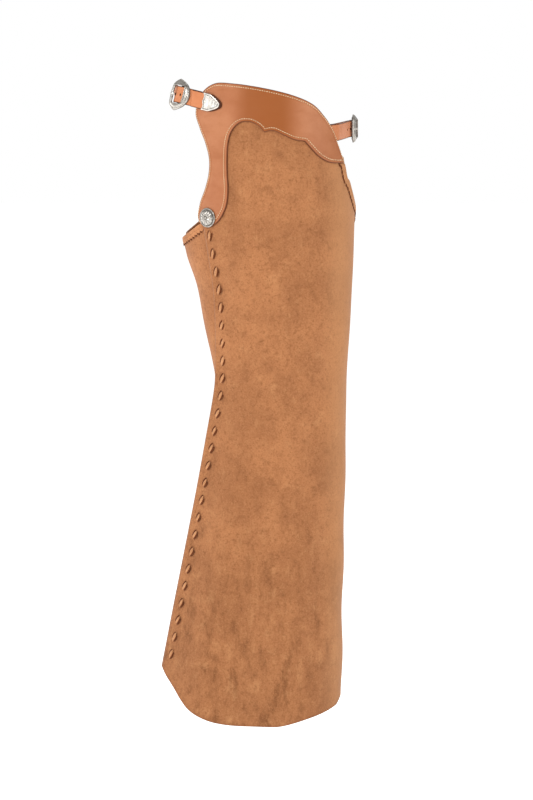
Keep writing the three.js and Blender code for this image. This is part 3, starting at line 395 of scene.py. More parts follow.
suedeTones = {"base": "a26942", "dark": "704122", "warm": "b0744a", "pale": "c58d5e", "edge": "6e3d1b"}
suedeMake = {"clouds": 13, "blotches": 46, "slant": 34, "specks": 210, "brushed": 300, "grainy": 430,
             "nap": 1500, "lowFrom": -0.5, "lowTo": -0.9, "frontHighlightFrom": 0.08, "frontHighlightTo": 0.125,
             "relief": 0.45, "reliefDeep": 0.0007}  # sizes of the marks, then where it darkens towards the hem and where the front edge takes a painted highlight


def suedeLook(name, tones):
    look = Look(name, Sheen_Weight=0.14, Sheen_Roughness=0.5, Specular_IOR_Level=0.18)
    base, dark, warm, pale, edge = (tone(tones[key]) for key in ("base", "dark", "warm", "pale", "edge"))
    clouds = look.noise(suedeMake["clouds"], 3, 0.6)
    blotches = look.noise(suedeMake["blotches"], 6, 0.68)
    specks = look.noise(suedeMake["specks"], 3, 0.6)
    grainy = look.noise(suedeMake["grainy"], 2, 0.6)
    nap = look.noise(suedeMake["nap"], 2, 0.6)
    brushed = look.noise(suedeMake["brushed"], 3, 0.6, look.stretched(1, 1, 0.35))
    slant = look.noise(suedeMake["slant"], 5, 0.65, look.stretched(1.5, 1, 0.5, 0.7))
    low = look.band(look.along(2), suedeMake["lowFrom"], suedeMake["lowTo"])
    # the front edge of each leg is painted paler: a painted highlight along that edge
    front = look.band(look.along(0), suedeMake["frontHighlightFrom"], suedeMake["frontHighlightTo"])
    colour = look.blend(look.band(clouds, 0.38, 0.62), base, warm)
    for share, tint in ((low * 0.2, dark),
                        (look.band(blotches, 0.5, 0.74) * (0.42 + low * 0.2), dark),
                        (look.band(slant, 0.48, 0.68) * (0.2 + low * 0.55), dark),
                        (look.band(slant, 0.46, 0.3) * (0.1 + low * 0.35), pale),
                        (look.band(blotches, 0.46, 0.28) * 0.42, pale),
                        (look.band(specks, 0.5, 0.74) * 0.5, dark),
                        (look.band(grainy, 0.5, 0.7) * 0.34, dark),
                        (look.band(grainy, 0.48, 0.3) * 0.24, pale),
                        (look.band(nap, 0.35, 0.75) * 0.2, pale),
                        (front * 0.5, pale),
                        (look.mark("rawEdge") * 0.55, edge)):
        colour = look.blend(share, colour, tint)
    height = nap * 0.5 + brushed * 0.6 + specks * 0.5 + blotches * 0.8
    return look.done(colour, look.band(brushed, 0.2, 0.8, 0.86, 1.0), height,
                     suedeMake["relief"], suedeMake["reliefDeep"])


smoothMake = {"clouds": 16, "pores": 900.0, "fine": 520, "streak": 60, "hipShadeBehind": (-0.055, -0.02),
              "hipShadeBefore": (0.062, 0.025), "deepRim": (0.0026, 0.001), "cutRim": (0.0016, 0.0005),
              "groove": (0.0013, 0.0002), "relief": 0.18, "reliefDeep": 0.0004}


def smoothLook(name, base, deep, light, edge, thread=0.0, gloss=0.3):
    # thread is how far its groove runs from the edge, and a yoke with a thread takes painted shade over the
    # middle of the hip
    look = Look(name, Specular_IOR_Level=gloss, Coat_Weight=gloss * 0.2, Coat_Roughness=0.3)
    clouds = look.noise(smoothMake["clouds"], 4, 0.6)
    pores = look.node("ShaderNodeTexVoronoi", {"feature": "DISTANCE_TO_EDGE"},
                      {"Vector": look.place, "Scale": smoothMake["pores"]})
    fine = look.noise(smoothMake["fine"], 4, 0.65)
    streak = look.noise(smoothMake["streak"], 4, 0.6, look.stretched(0.3, 1, 1.2))
    deep = tone(deep)
    colour = look.blend(look.band(clouds, 0.35, 0.68), tone(base), tone(light))
    colour = look.blend(look.band(streak, 0.45, 0.8) * 0.4, colour, deep)
    colour = look.blend(look.band(fine, 0.5, 0.85) * 0.28, colour, deep)
    rim = look.mark("edge")
    if thread:
        # painted shade: the middle of the hip is darkened where the side lights fall off
        along = look.along(0)
        hipShade = look.band(along, *smoothMake["hipShadeBehind"]) * look.band(along, *smoothMake["hipShadeBefore"])
        colour = look.blend(hipShade * 0.9, colour, deep)
    colour = look.blend(look.band(rim, *smoothMake["deepRim"]) * 0.6, colour, deep)
    colour = look.blend(look.band(rim, *smoothMake["cutRim"]), colour, tone(edge))
    height = look.band(pores, 0.0, 0.12) * 0.35 + fine * 0.5
    if thread:
        gap = look.node("ShaderNodeMath", {"operation": "ABSOLUTE"}, {0: rim - thread})
        groove = look.band(gap, *smoothMake["groove"])
        colour = look.blend(groove * 0.45, colour, deep)
        height = height - groove * 2.4
    return look.done(colour, look.band(fine, 0.3, 0.8, 0.34, 0.5), height,
                     smoothMake["relief"], smoothMake["reliefDeep"])


def plainLook(name, base, deep, rough, scale=900.0):
    look = Look(name, Specular_IOR_Level=0.3)
    grain = look.noise(scale, 3, 0.6)
    return look.done(look.blend(grain, tone(base), tone(deep)),
                     look.band(grain, 0.2, 0.8, rough, min(rough + 0.12, 1.0)), grain, 0.3, 0.0003)


silverMake = {"tarnish": 160, "scratch": 700, "scrolls": 240.0, "scrollCells": 190.0, "leaves": 230.0,
              "grimeAndShadeTone": "3a332c", "relief": 0.5, "reliefDeep": 0.0004}


def silverLook(name, engraved, bright, dull):
    # leaf and scroll lines cut into the metal, dark where grime has settled; the same dark is painted on a
    # buckle's inner wall, underside and bar as painted shade
    look = Look(name)
    tarnish = look.noise(silverMake["tarnish"], 4, 0.6)
    scratch = look.noise(silverMake["scratch"], 2, 0.5, look.stretched(1, 1, 0.15))
    centres = look.node("ShaderNodeTexVoronoi", None,
                        {"Vector": look.place, "Scale": silverMake["scrollCells"]}, out="Position")
    rings = look.node("ShaderNodeTexWave", {"wave_type": "RINGS", "rings_direction": "SPHERICAL"},
                      {"Vector": centres, "Scale": silverMake["scrolls"], "Distortion": 3.0, "Detail": 1.0})
    cells = look.node("ShaderNodeTexVoronoi", {"feature": "DISTANCE_TO_EDGE"},
                      {"Vector": look.place, "Scale": silverMake["leaves"]})
    lines = look.band(cells, 0.10, 0.02) * engraved + look.band(rings, 0.6, 0.9) * (0.35 * engraved)
    # one mark for patina in the hollows and for painted shade on walls, undersides and the bar
    grimeAndShade = look.node("ShaderNodeMath", {"operation": "MINIMUM"}, {0: lines + look.mark("patinaAndShade"), 1: 1.0})
    colour = look.blend(look.band(tarnish, 0.35, 0.75), tone(bright), tone(dull))
    colour = look.blend(grimeAndShade * 0.85, colour, tone(silverMake["grimeAndShadeTone"]))
    height = scratch * 0.12 - lines * 1.0
    return look.done(colour, grimeAndShade * 0.5 + look.band(tarnish, 0.3, 0.8, 0.16, 0.34), height,
                     silverMake["relief"], silverMake["reliefDeep"], metal=1.0 - grimeAndShade * 0.7)


threadInset = 0.0042  # from a yoke's edge to its thread

looks = {
    "suede": suedeLook("suede", suedeTones),
    "facing": suedeLook("facing_suede", {**suedeTones, "base": "b5774a", "warm": "c48456"}),
    "thong": suedeLook("thong_suede", {**suedeTones, "base": "c0865a", "warm": "cb9164", "dark": "a06a42",
                                       "pale": "d8a277"}),
    "yoke": smoothLook("yoke_leather", "ad6a42", "95501d", "b8774f", "6a3517", thread=threadInset),
    "strap": smoothLook("strap_leather", "cb8054", "b96e40", "d58b64", "4a2410", gloss=0.16),
    "silver": silverLook("antique_silver", 0.22, "ccc7bf", "a09990"),
    "brightSilver": silverLook("bright_silver", 0.16, "e6e2da", "c4beb5"),
    "thread": plainLook("cream_thread", "f7e6c4", "e0c394", 0.7),
    "slit": plainLook("slit_shadow", "6e3818", "582a10", 0.9),
    "hole": plainLook("hole_shadow", "2a1208", "3a1a0c", 0.8),
}
print("materials made", len(looks))

# legs, each one rolled panel of suede lapped at the rear seam
legMake = {"rows": 190, "ripple": 0.0011, "lapShare": 0.077, "edgeRow": 0.0006,
           "columns": {"rear": 40, "front": 40, "bend": 22, "inside": 36, "lap": 6}}


def legColumns():
    # places around the panel, crowded where it turns at the front
    widest, ends, counts = bodySizes["widest"], bodySizes["frontEnds"], legMake["columns"]
    rear = np.linspace(0, widest, counts["rear"])
    front = lerp(1, widest, (1 - np.arange(1, counts["front"] + 1) / counts["front"]) ** 1.8)
    bend = 1 + np.arange(1, counts["bend"] + 1) / counts["bend"] * (ends - 1)
    inside = ends + np.arange(1, counts["inside"] + 1) / counts["inside"] * (2 - ends)
    lap = 2 + np.linspace(0.012, legMake["lapShare"], counts["lap"])
    return np.concatenate([rear, front, bend, inside, lap])


def ripple(points):
    # slow uneven waves of soft suede, from a few fixed sine waves
    x, y, z = points[..., 0], points[..., 1], points[..., 2]
    waves = (np.sin(x * 61 + z * 17 + 1.3) * np.sin(z * 23 + y * 31)
             + 0.6 * np.sin(z * 47 + x * 29 + 0.4) + 0.5 * np.sin(x * 97 - z * 21 + y * 40))
    return waves * legMake["ripple"]


def legLift(points, around, z):
    # the ripples die away at the seam and beneath the yoke
    calm = smoothStep(0, 0.05, around) * (1 - smoothStep(1.93, 2.0, around))
    under = smoothStep(-bodySizes["yoke"] * 1.02, -bodySizes["yoke"] * 1.5, z)
    return ripple(points) * calm * under


def makeLegs():
    around = legColumns()
    share = np.linspace(0, 1, legMake["rows"])
    share = np.concatenate([[0, legMake["edgeRow"]], share[1:-1], [1 - legMake["edgeRow"], 1]])
    low, high = hemZ(around), topZ(around)
    a = np.repeat(around[:, None], len(share), 1)
    z = lerp(low[:, None], high[:, None], share[None])
    points = panelPoint(a, z)
    lapped, atSeam = (a > 2)[..., None], (a >= 1.9999)[..., None]
    normals = np.where(atSeam, outerNormal(sectionAt(z)["seamX"], z), panelNormal(a, z))
    normals = np.where(lapped, outerNormal(points[..., 0], z), normals)
    out = np.where(a > 2, -(leather["suede"] + leather["lapGap"]), 0.0) + legLift(points, a, z)
    face = points + normals * out[..., None]
    back = face - normals * leather["suede"]
    edge = np.zeros_like(z)  # how raw the cut edges look
    edge[:, 0], edge[:, -1] = 1, 0.4
    edge[0] = edge[-1] = 0.3
    edge[:, 1] = 0.5
    right = shellPiece("rightSuedeLeg", face, back, looks["suede"], {"rawEdge": edge})
    return right, mirrorCopy(right, "leftSuedeLeg"), panelArea(face)


def panelArea(grid):
    a = grid[1:, :-1] - grid[:-1, :-1]
    b = grid[:-1, 1:] - grid[:-1, :-1]
    return float(np.linalg.norm(np.cross(a, b), axis=-1).sum())


rightLeg, leftLeg, legArea = makeLegs()
for piece, node, yoke in ((rightLeg, "right_leg", "right_yoke"), (leftLeg, "left_leg", "left_yoke")):
    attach(piece, "root")
    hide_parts(node)
print("legs made, area", round(legArea, 3))


# rows of stitches and slits
def repeatTree(name):
    # places a template on every point, turned by the points' "along" and "out"
    tree = bpy.data.node_groups.new(name, "GeometryNodeTree")
    face = tree.interface
    face.new_socket("Geometry", in_out="INPUT", socket_type="NodeSocketGeometry")
    for label, kind in (("Template", "Object"), ("Length", "Float"), ("Width", "Float"),
                        ("Height", "Float"), ("Uneven", "Float"), ("Lean", "Float"), ("Seed", "Int"),
                        ("Finish", "Material")):
        face.new_socket(label, in_out="INPUT", socket_type="NodeSocket" + kind)
    face.new_socket("Geometry", in_out="OUTPUT", socket_type="NodeSocketGeometry")

    def node(kind, settings=None, sockets=None):
        made = tree.nodes.new(kind)
        for key, value in (settings or {}).items():
            setattr(made, key, value)
        for key, value in (sockets or {}).items():
            if hasattr(value, "is_linked"):
                tree.links.new(value, made.inputs[key])
            else:
                made.inputs[key].default_value = value
        return made

    given = node("NodeGroupInput").outputs
    template = node("GeometryNodeObjectInfo", {"transform_space": "ORIGINAL"}, {"Object": given["Template"]})
    along = node("GeometryNodeInputNamedAttribute", {"data_type": "FLOAT_VECTOR"}, {"Name": "along"})
    out = node("GeometryNodeInputNamedAttribute", {"data_type": "FLOAT_VECTOR"}, {"Name": "out"})
    turn = node("FunctionNodeAxesToRotation", {"primary_axis": "Z", "secondary_axis": "X"},
                {"Primary Axis": out.outputs[0], "Secondary Axis": along.outputs[0]})
    size = node("ShaderNodeCombineXYZ", None, {0: given["Length"], 1: given["Width"], 2: given["Height"]})
    low = node("ShaderNodeMath", {"operation": "SUBTRACT"}, {0: 1.0, 1: given["Uneven"]})
    high = node("ShaderNodeMath", {"operation": "ADD"}, {0: 1.0, 1: given["Uneven"]})
    vary = node("FunctionNodeRandomValue", {"data_type": "FLOAT"},
                {2: low.outputs[0], 3: high.outputs[0], "Seed": given["Seed"]})
    scaled = node("ShaderNodeVectorMath", {"operation": "SCALE"},
                  {0: size.outputs[0], "Scale": vary.outputs[1]})
    less = node("ShaderNodeMath", {"operation": "MULTIPLY"}, {0: given["Lean"], 1: -1.0})
    lean = node("FunctionNodeRandomValue", {"data_type": "FLOAT"},
                {2: less.outputs[0], 3: given["Lean"], "Seed": 7})
    twist = node("ShaderNodeCombineXYZ", None, {2: lean.outputs[1]})
    twisted = node("FunctionNodeRotateRotation", {"rotation_space": "LOCAL"},
                   {0: turn.outputs[0], 1: twist.outputs[0]})
    placed = node("GeometryNodeInstanceOnPoints", None,
                  {"Points": given["Geometry"], "Instance": template.outputs["Geometry"],
                   "Rotation": twisted.outputs[0], "Scale": scaled.outputs[0]})
    real = node("GeometryNodeRealizeInstances", None, {0: placed.outputs[0]})
    finish = node("GeometryNodeSetMaterial", None, {"Geometry": real.outputs[0], "Material": given["Finish"]})
    end = node("NodeGroupOutput")
    tree.links.new(finish.outputs[0], end.inputs[0])
    return tree


rowTree = repeatTree("row of pieces")


def repeated(name, places, along, out, shape, size, finish, uneven, lean, seed=3):
    places = np.asarray(places, float).reshape(-1, 3)
    data = bpy.data.meshes.new(name)
    data.from_pydata(places.tolist(), [], [])
    for label, vectors in (("along", along), ("out", out)):
        layer = data.attributes.new(label, "FLOAT_VECTOR", "POINT")
        layer.data.foreach_set("vector", np.asarray(vectors, np.float32).reshape(-1))
    piece = bpy.data.objects.new(name, data)
    bpy.context.scene.collection.objects.link(piece)
    modifier = piece.modifiers.new("row", "NODES")
    modifier.node_group = rowTree
    values = {"Template": shape, "Length": size[0], "Width": size[1], "Height": size[2], "Uneven": uneven,
              "Lean": lean, "Seed": seed, "Finish": finish}
    for item in rowTree.interface.items_tree:
        if item.in_out == "INPUT" and item.name in values:
            modifier[item.identifier] = values[item.name]
    piece.update_tag()
    bpy.context.view_layer.update()
    mesh = bpy.data.meshes.new_from_object(piece.evaluated_get(bpy.context.evaluated_depsgraph_get()))
    piece.modifiers.clear()
    piece.data = mesh
    mesh.polygons.foreach_set("use_smooth", [True] * len(mesh.polygons))
    return piece


def roundTemplate(name, sides, profile):
    # unit long body along X: each ring's place, half widths across and up, and lift
    points, faces = [], []
    for x, across, up, lift in profile:
        for k in range(sides):
            turn = 2 * math.pi * k / sides
            points.append((x, across * math.cos(turn), lift + up * math.sin(turn)))
    for i in range(len(profile) - 1):
        for k in range(sides):
            m = (k + 1) % sides
            faces.append(((i + 1) * sides + k, (i + 1) * sides + m, i * sides + m, i * sides + k))
    faces.append(tuple(range(sides)))
    faces.append(tuple((len(profile) - 1) * sides + k for k in reversed(range(sides))))
    data = bpy.data.meshes.new(name)
    data.from_pydata(points, [], faces)
    piece = bpy.data.objects.new(name, data)
    bpy.context.scene.collection.objects.link(piece)
    return piece


stitchShape = roundTemplate("stitchShape", 6, [
    (-0.5, 0.15, 0.15, -0.1), (-0.38, 0.42, 0.42, 0.1), (0, 0.5, 0.5, 0.28), (0.38, 0.42, 0.42, 0.1),
    (0.5, 0.15, 0.15, -0.1)])
lensShape = roundTemplate("lensShape", 10, [
    (x, max(0.5 * (1 - (2 * x) ** 2) ** 0.85, 0.02), max(0.5 * (1 - (2 * x) ** 2) ** 0.6, 0.04), 0.0)
    for x in (-0.5, -0.42, -0.3, -0.15, 0.0, 0.15, 0.3, 0.42, 0.5)])


def mirrorPoints(*arrays):
    return [np.asarray(a) * (1, -1, 1) for a in arrays]


# hip yokes with their stitched edge
yokeMake = {"steps": 9, "thread": threadInset, "pitch": 0.0035, "threadWide": 0.0013, "threadLong": 0.0019,
            "threadSunk": 0.0002, "round": 0.0007, "roundWide": 0.0012, "dent": 0.00025, "dentWide": 0.001,
            "edgeBand": 0.007, "across": 14}
edgeGaps = np.array([0, 0.0004, 0.0009, 0.0016, 0.0026, 0.0035, 0.0042, 0.0049, 0.0057, 0.007])


def catmull(points, count):
    # centripetal curve through the points, even in its parameter, open ended
    p = np.asarray(points, float)
    p = np.concatenate([[2 * p[0] - p[1]], p, [2 * p[-1] - p[-2]]])
    segments = len(p) - 3
    t = np.linspace(0, segments, count)
    i = np.minimum(t.astype(int), segments - 1)
    w = (t - i)[:, None]
    gaps = np.maximum(((p[1:] - p[:-1]) ** 2).sum(1) ** 0.25, 1e-9)
    d0, d1, d2 = gaps[i][:, None], gaps[i + 1][:, None], gaps[i + 2][:, None]
    x0, x1, x2, x3 = p[i], p[i + 1], p[i + 2], p[i + 3]
    t1 = ((x1 - x0) / d0 - (x2 - x0) / (d0 + d1) + (x2 - x1) / d1) * d1
    t2 = ((x2 - x1) / d1 - (x3 - x1) / (d1 + d2) + (x3 - x2) / d2) * d1
    square, cube = -3 * x1 + 3 * x2 - 2 * t1 - t2, 2 * x1 - 2 * x2 + t1 + t2
    return x1 + t1 * w + square * w ** 2 + cube * w ** 3


def yokeEdge(first, second, cusps):
    rows = yokeRows[:, [first, second]]
    stops = [k for k in range(len(rows)) if cusps and yokeRows[k, 4]]
    ends = [0, *stops, len(rows) - 1]
    runs = []
    for a, b in zip(ends[:-1], ends[1:]):
        run = catmull(rows[a:b + 1], (b - a) * yokeMake["steps"] + 1)
        runs.append(run if a == 0 else run[1:])
    return np.concatenate(runs)


def yokePlace(flat, out):
    # flat places are shares along from seam to front and down the yoke
    z = -flat[..., 1] * bodySizes["yoke"]
    s = sectionAt(z)
    return onSide(lerp(s["seamX"], s["frontX"], flat[..., 0]), z, out)


def evenly(points, pitch):
    # the same line with its points a pitch apart
    lengths = np.concatenate([[0], np.cumsum(np.linalg.norm(np.diff(points, axis=0), axis=1))])
    count = max(int(lengths[-1] / pitch), 2)
    at = np.linspace(0, lengths[-1], count + 1)
    return np.stack([np.interp(at, lengths, points[:, k]) for k in range(points.shape[1])], 1)


def nearest(points, line):
    # distance from each point to a line of points
    best = np.full(len(points), 1e9)
    a, b = line[:-1], line[1:]
    ab = b - a
    square = np.maximum((ab ** 2).sum(1), 1e-18)
    for k in range(len(a)):
        t = np.clip(((points - a[k]) @ ab[k]) / square[k], 0, 1)
        best = np.minimum(best, np.linalg.norm(points - a[k] - t[:, None] * ab[k], axis=1))
    return best


def makeYokes():
    outer, inner = yokeEdge(0, 1, False), yokeEdge(2, 3, True)
    under, over = leather["yokeSeat"], leather["yokeSeat"] + leather["yoke"]
    edgeLine = yokePlace(np.concatenate([outer, inner[::-1], outer[:1]]), over)
    widths = np.linalg.norm(yokePlace(outer, 0.0) - yokePlace(inner, 0.0), axis=1)
    rows = []
    for width in widths:
        reach = min(yokeMake["edgeBand"], width * 0.3)
        near = edgeGaps / yokeMake["edgeBand"] * reach / width
        middle = np.linspace(reach / width, 1 - reach / width, yokeMake["across"])[1:-1]
        rows.append(np.concatenate([near, middle, (1 - near)[::-1]]))
    v = np.array(rows)[..., None]
    flat = outer[:, None] * (1 - v) + inner[:, None] * v
    rim = nearest(yokePlace(flat, over).reshape(-1, 3), edgeLine).reshape(flat.shape[:2])
    rounded = yokeMake["round"] * np.clip(1 - rim / yokeMake["roundWide"], 0, 1) ** 2
    dent = yokeMake["dent"] * np.clip(1 - np.abs(rim - yokeMake["thread"]) / yokeMake["dentWide"], 0, 1)
    face = yokePlace(flat, over - rounded - dent)
    right = shellPiece("rightYokeLeather", face, yokePlace(flat, under), looks["yoke"], {"edge": rim})
    # the thread runs inside every edge: step in from the outline and keep what stays that far in
    line = evenly(edgeLine, 0.001)
    forward = unit(np.roll(line, -1, 0) - np.roll(line, 1, 0))
    moved = line + np.cross(forward, outerNormal(line[:, 0], line[:, 2])) * yokeMake["thread"]
    track = evenly(moved[nearest(moved, edgeLine) > yokeMake["thread"] * 0.985], yokeMake["pitch"])
    along = unit(np.roll(track, -1, 0) - np.roll(track, 1, 0))
    out = outerNormal(track[:, 0], track[:, 2])
    seatOn = onSide(track[:, 0], track[:, 2], over - yokeMake["threadSunk"])
    size = (yokeMake["threadLong"], yokeMake["threadWide"], yokeMake["threadWide"])
    pieces = [right, mirrorCopy(right, "leftYokeLeather")]
    for side in ("right", "left"):
        p, a, o = (seatOn, along, out) if side == "right" else mirrorPoints(seatOn, along, out)
        pieces.append(repeated(side + "YokeThread", p, a, o, stitchShape, size, looks["thread"], 0.1, 0.08))
    return pieces


rightYoke, leftYoke, rightThread, leftThread = makeYokes()
for piece, node, thread in ((rightYoke, "right_yoke", rightThread), (leftYoke, "left_yoke", leftThread)):
    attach(piece, "root")
    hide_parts(node)
    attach(thread, "root")
print("yokes made")

# waist straps; distances run along each strap's line from its right end
strapMake = {"wide": 0.0254, "rearRise": 0.021, "rearBuckleRise": 0.015, "rearTipRise": -0.006,
             "frontDrop": 0.040, "frontEndDrop": 1.06, "frontBuckleDrop": 0.034, "fold": 0.0086,
             "anchor": 0.036, "tipLong": 0.029, "tipWall": 0.0012, "tipInside": 1.65, "leanFade": 0.012,
             "bar": 0.004, "wall": 0.0022, "rearShare": 0.437, "frontAside": 0.1, "rearWide": 0.044,
             "rearHigh": 0.049, "frontWide": 0.040, "frontHigh": 0.0435, "openShare": 0.52, "clear": 0.0012,
             "crest": 0.007, "rim": 0.0026, "dome": 1.5, "horn": 0.16, "rearLean": 0.24, "leanFrom": 0.016,
             "edgeAndShadowPastTip": 0.0034}
holeMake = {"radius": 0.0017, "sides": 20, "deep": 0.8, "rear": -0.0046, "pitch": 0.0225, "rearCount": 5,
            "front": (-0.040, -0.0175, 0.0275, 0.050), "slotHalf": 0.0021, "slotHigh": 0.0095}
rearCorner = ((-0.425, 0.335), (-0.466, 0.29), (-0.482, 0.22), (-0.486, 0.12), (-0.486, 0))
frontCorner = ((0.444, 0.25), (0.47, 0.16), (0.487, 0.08), (0.493, 0))


lineMake = {"points": 6000, "tests": 801}


def planLine(startX, endX, z, count, corner):
    # a strap's line in plan: over the right yoke, round the corner and mirrored to the left
    x = np.linspace(startX, endX, count + 1)
    turn = [(back * bodySizes["depth"], -aside * bodySizes["width"]) for back, aside in corner]
    near = np.concatenate([np.stack([x, outerY(x, z)], 1), turn])
    points = catmull(np.concatenate([near, near[-2::-1] * (1, -1)]), lineMake["points"])
    lengths = np.concatenate([[0], np.cumsum(np.linalg.norm(np.diff(points, axis=0), axis=1))])
    return {"points": points, "lengths": lengths, "total": lengths[-1]}


def lineAt(line, distance):
    return np.stack([np.interp(distance, line["lengths"], line["points"][:, k]) for k in (0, 1)], -1)


def distanceWhere(line, test):
    at = np.linspace(0, line["total"], lineMake["tests"])
    return at[int(np.argmax(test(lineAt(line, at))))]


def riseOf(line):
    at, heights = line["rise"]
    return lambda distance: tableValue(at, heights, distance)


rearEdgeX = float(sectionAt(0.0)["seamX"])
rearLine = planLine(rearEdgeX + strapMake["anchor"] + strapMake["tipLong"], rearEdgeX,
                    strapMake["rearBuckleRise"] * 0.5, 5, rearCorner)
frontReach = float(sectionAt(-strapMake["frontDrop"])["frontX"])
frontLine = planLine(frontReach * 0.66, frontReach * 0.8, -strapMake["frontDrop"], 4, frontCorner)
rearLine["edge"] = distanceWhere(rearLine, lambda p: p[:, 0] < rearEdgeX)
frontLine["edge"] = distanceWhere(frontLine, lambda p: p[:, 0] > frontReach * 0.8)
rearLine["buckle"] = distanceWhere(rearLine, lambda p: p[:, 0] < -strapMake["rearShare"] * bodySizes["depth"])
frontLine["buckle"] = distanceWhere(
    frontLine, lambda p: (p[:, 0] > 0) & (p[:, 1] > -strapMake["frontAside"] * bodySizes["width"]))
rearLine["lean"], frontLine["lean"] = strapMake["rearLean"], 0.0
rearLine["rise"] = ([0, rearLine["buckle"], rearLine["total"] / 2, rearLine["total"] - rearLine["buckle"],
                     rearLine["total"]],
                    [strapMake["rearTipRise"], strapMake["rearBuckleRise"], strapMake["rearRise"],
                     strapMake["rearBuckleRise"], strapMake["rearTipRise"]])
frontEndRise = -strapMake["frontDrop"] * strapMake["frontEndDrop"]
frontLine["rise"] = ([0, frontLine["total"] / 2, frontLine["total"]],
                     [frontEndRise, -strapMake["frontBuckleDrop"], frontEndRise])


def frameAt(line, distance):
    # the place, outward and upward directions of a strap
    rise = riseOf(line)
    near, far = 0.0004, 0.002
    ahead, behind = np.minimum(distance + near, line["total"]), np.maximum(distance - near, 0)
    flat = unit(lineAt(line, ahead) - lineAt(line, behind))
    p = lineAt(line, distance)
    slope = (rise(distance + far) - rise(distance - far)) / (2 * far)
    along = unit(np.concatenate([flat, slope[..., None]], -1))
    outward = np.stack([-flat[..., 1], flat[..., 0], np.zeros_like(slope)], -1)
    outward = outward * np.where((outward[..., :2] * p).sum(-1) < 0, -1.0, 1.0)[..., None]
    up = unit(np.cross(outward, along))
    up = up * np.where(up[..., 2] < 0, -1.0, 1.0)[..., None]
    # the strap leans with the hip on either side of its buckle
    reach = np.abs(np.asarray(distance) - line["buckle"])
    fade = 1 - smoothStep(strapMake["leanFrom"], line["buckle"] - line["edge"], reach)
    lean = (line["lean"] * fade)[..., None]
    outward, up = outward * np.cos(lean) + up * np.sin(lean), up * np.cos(lean) - outward * np.sin(lean)
    return np.concatenate([p, rise(distance)[..., None]], -1), outward, up


def strapPoint(line, distance, out, side):
    distance, out, side = np.broadcast_arrays(*(np.asarray(v, float) for v in (distance, out, side)))
    place, outward, up = frameAt(line, distance)
    inside = np.minimum(distance, line["total"] - distance)
    weight = 1 - smoothStep(line["edge"], line["edge"] + strapMake["leanFade"], inside)
    p = place + up * side[..., None]
    hand = np.where(distance < line["total"] / 2, 1.0, -1.0)
    p[..., 1] = lerp(p[..., 1], hand * outerY(p[..., 0], p[..., 2]), weight)
    return p + outward * out[..., None]


def seatOf(line):
    # turns flat places (along, up, outward) into places on the line at its buckle
    place, outward, up = (v[0] for v in frameAt(line, np.array([line["buckle"]])))
    across = np.cross(up, outward)
    return lambda local: place + np.asarray(local) @ np.stack([across, up, outward])


def ease(first, last, low, high, value):
    return lerp(first, last, smoothStep(low, high, value))


chapeOut, barOut = -leather["strap"], leather["seat"]
foldOut = barOut + strapMake["wall"] + leather["seat"]
billetOut = foldOut + leather["strap"] + leather["seat"]
yokeFace = leather["yokeSeat"] + leather["yoke"]


def rearHeight(distance):
    # how far out the rear strap lies: on the yoke, over the buckle's bar, then behind the frame
    at, bar, half = rearLine["buckle"], strapMake["bar"], strapMake["rearWide"] / 2
    near = ease(leather["seat"], billetOut, at - half + bar, at - strapMake["fold"] + bar / 2, distance)
    far = ease(near, chapeOut, at + bar / 2, at + half + bar / 2, distance)
    return ease(yokeFace + leather["seat"], far, rearLine["edge"], at - half, distance)


def frontHeight(distance):
    at, bar, half = frontLine["buckle"], strapMake["bar"], strapMake["frontWide"] / 2
    rise = ease(chapeOut, billetOut, at - half - bar / 2, at - bar / 2, distance)
    return ease(rise, leather["seat"], at + strapMake["fold"] - bar / 2, at + half - bar, distance)


def rimOf(grid):
    # how far each place of a grid lies from its outline
    outline = np.concatenate([grid[0], grid[:, -1], grid[-1, ::-1], grid[::-1, 0]])
    return nearest(grid.reshape(-1, 3), outline).reshape(grid.shape[:2])


def band(name, top, bottom, fade=1.0):
    # closed strap from its two faces, with its edges eased over
    rim = rimOf(top)
    soften, most = 0.0012, 0.3
    eased = (most * np.clip(1 - rim / soften, 0, 1) ** 2)[..., None]
    return shellPiece(name, lerp(top, bottom, eased), lerp(bottom, top, eased), looks["strap"],
                      {"edge": rim * fade})


def acrossStrap(half):
    # places across a strap, crowded at its edges
    half = np.atleast_1d(np.asarray(half, float))[:, None]
    gaps = np.array([0, 0.0003, 0.0007, 0.0012, 0.0018, 0.0026, 0.0036])
    near = gaps / gaps[-1] * np.minimum(gaps[-1], half * 0.6)
    middle = lerp(-1, 1, np.linspace(0, 1, 10)[1:-1]) * (half - near[:, -1:])
    return np.concatenate([near - half, middle, (half - near)[:, ::-1]], 1)


def strapBand(name, line, distance, half, out, darkEdgeAndShadowTo=-1.0):
    # the last argument is how far along the strap its end is painted dark: the leather's dark cut edge, with
    # a painted shadow of the metal tip on it
    side = acrossStrap(half)
    d = np.repeat(distance[:, None], side.shape[1], 1)
    faces = (strapPoint(line, d, out(d) + wall, side) for wall in (leather["strap"], 0.0))
    return band(name, *faces, fade=smoothStep(darkEdgeAndShadowTo, darkEdgeAndShadowTo + 0.003, d))


def pointedHalf(distance, end, length, least):
    # half the strap's width, narrowing to its end
    t = np.clip(np.abs(distance - end) / length, 0, 1)
    return lerp(least, strapMake["wide"] / 2, t ** 0.6)


def holeCutter(name, places, outs, radius, depth):
    # short round pegs sunk in a face
    points, faces = [], []
    for place, out in zip(places, outs):
        side = unit(np.cross(out, (0.0, 0.0, 1.0)))
        up = np.cross(side, out)
        start = len(points)
        for level in (-depth, 0.001):
            for k in range(holeMake["sides"]):
                turn = 2 * math.pi * k / holeMake["sides"]
                points.append(place + out * level + (side * math.cos(turn) + up * math.sin(turn)) * radius)
        faces += tubeFaces(2, holeMake["sides"], False, start)
    return meshPiece(name, points, faces, looks["hole"], smooth=False)


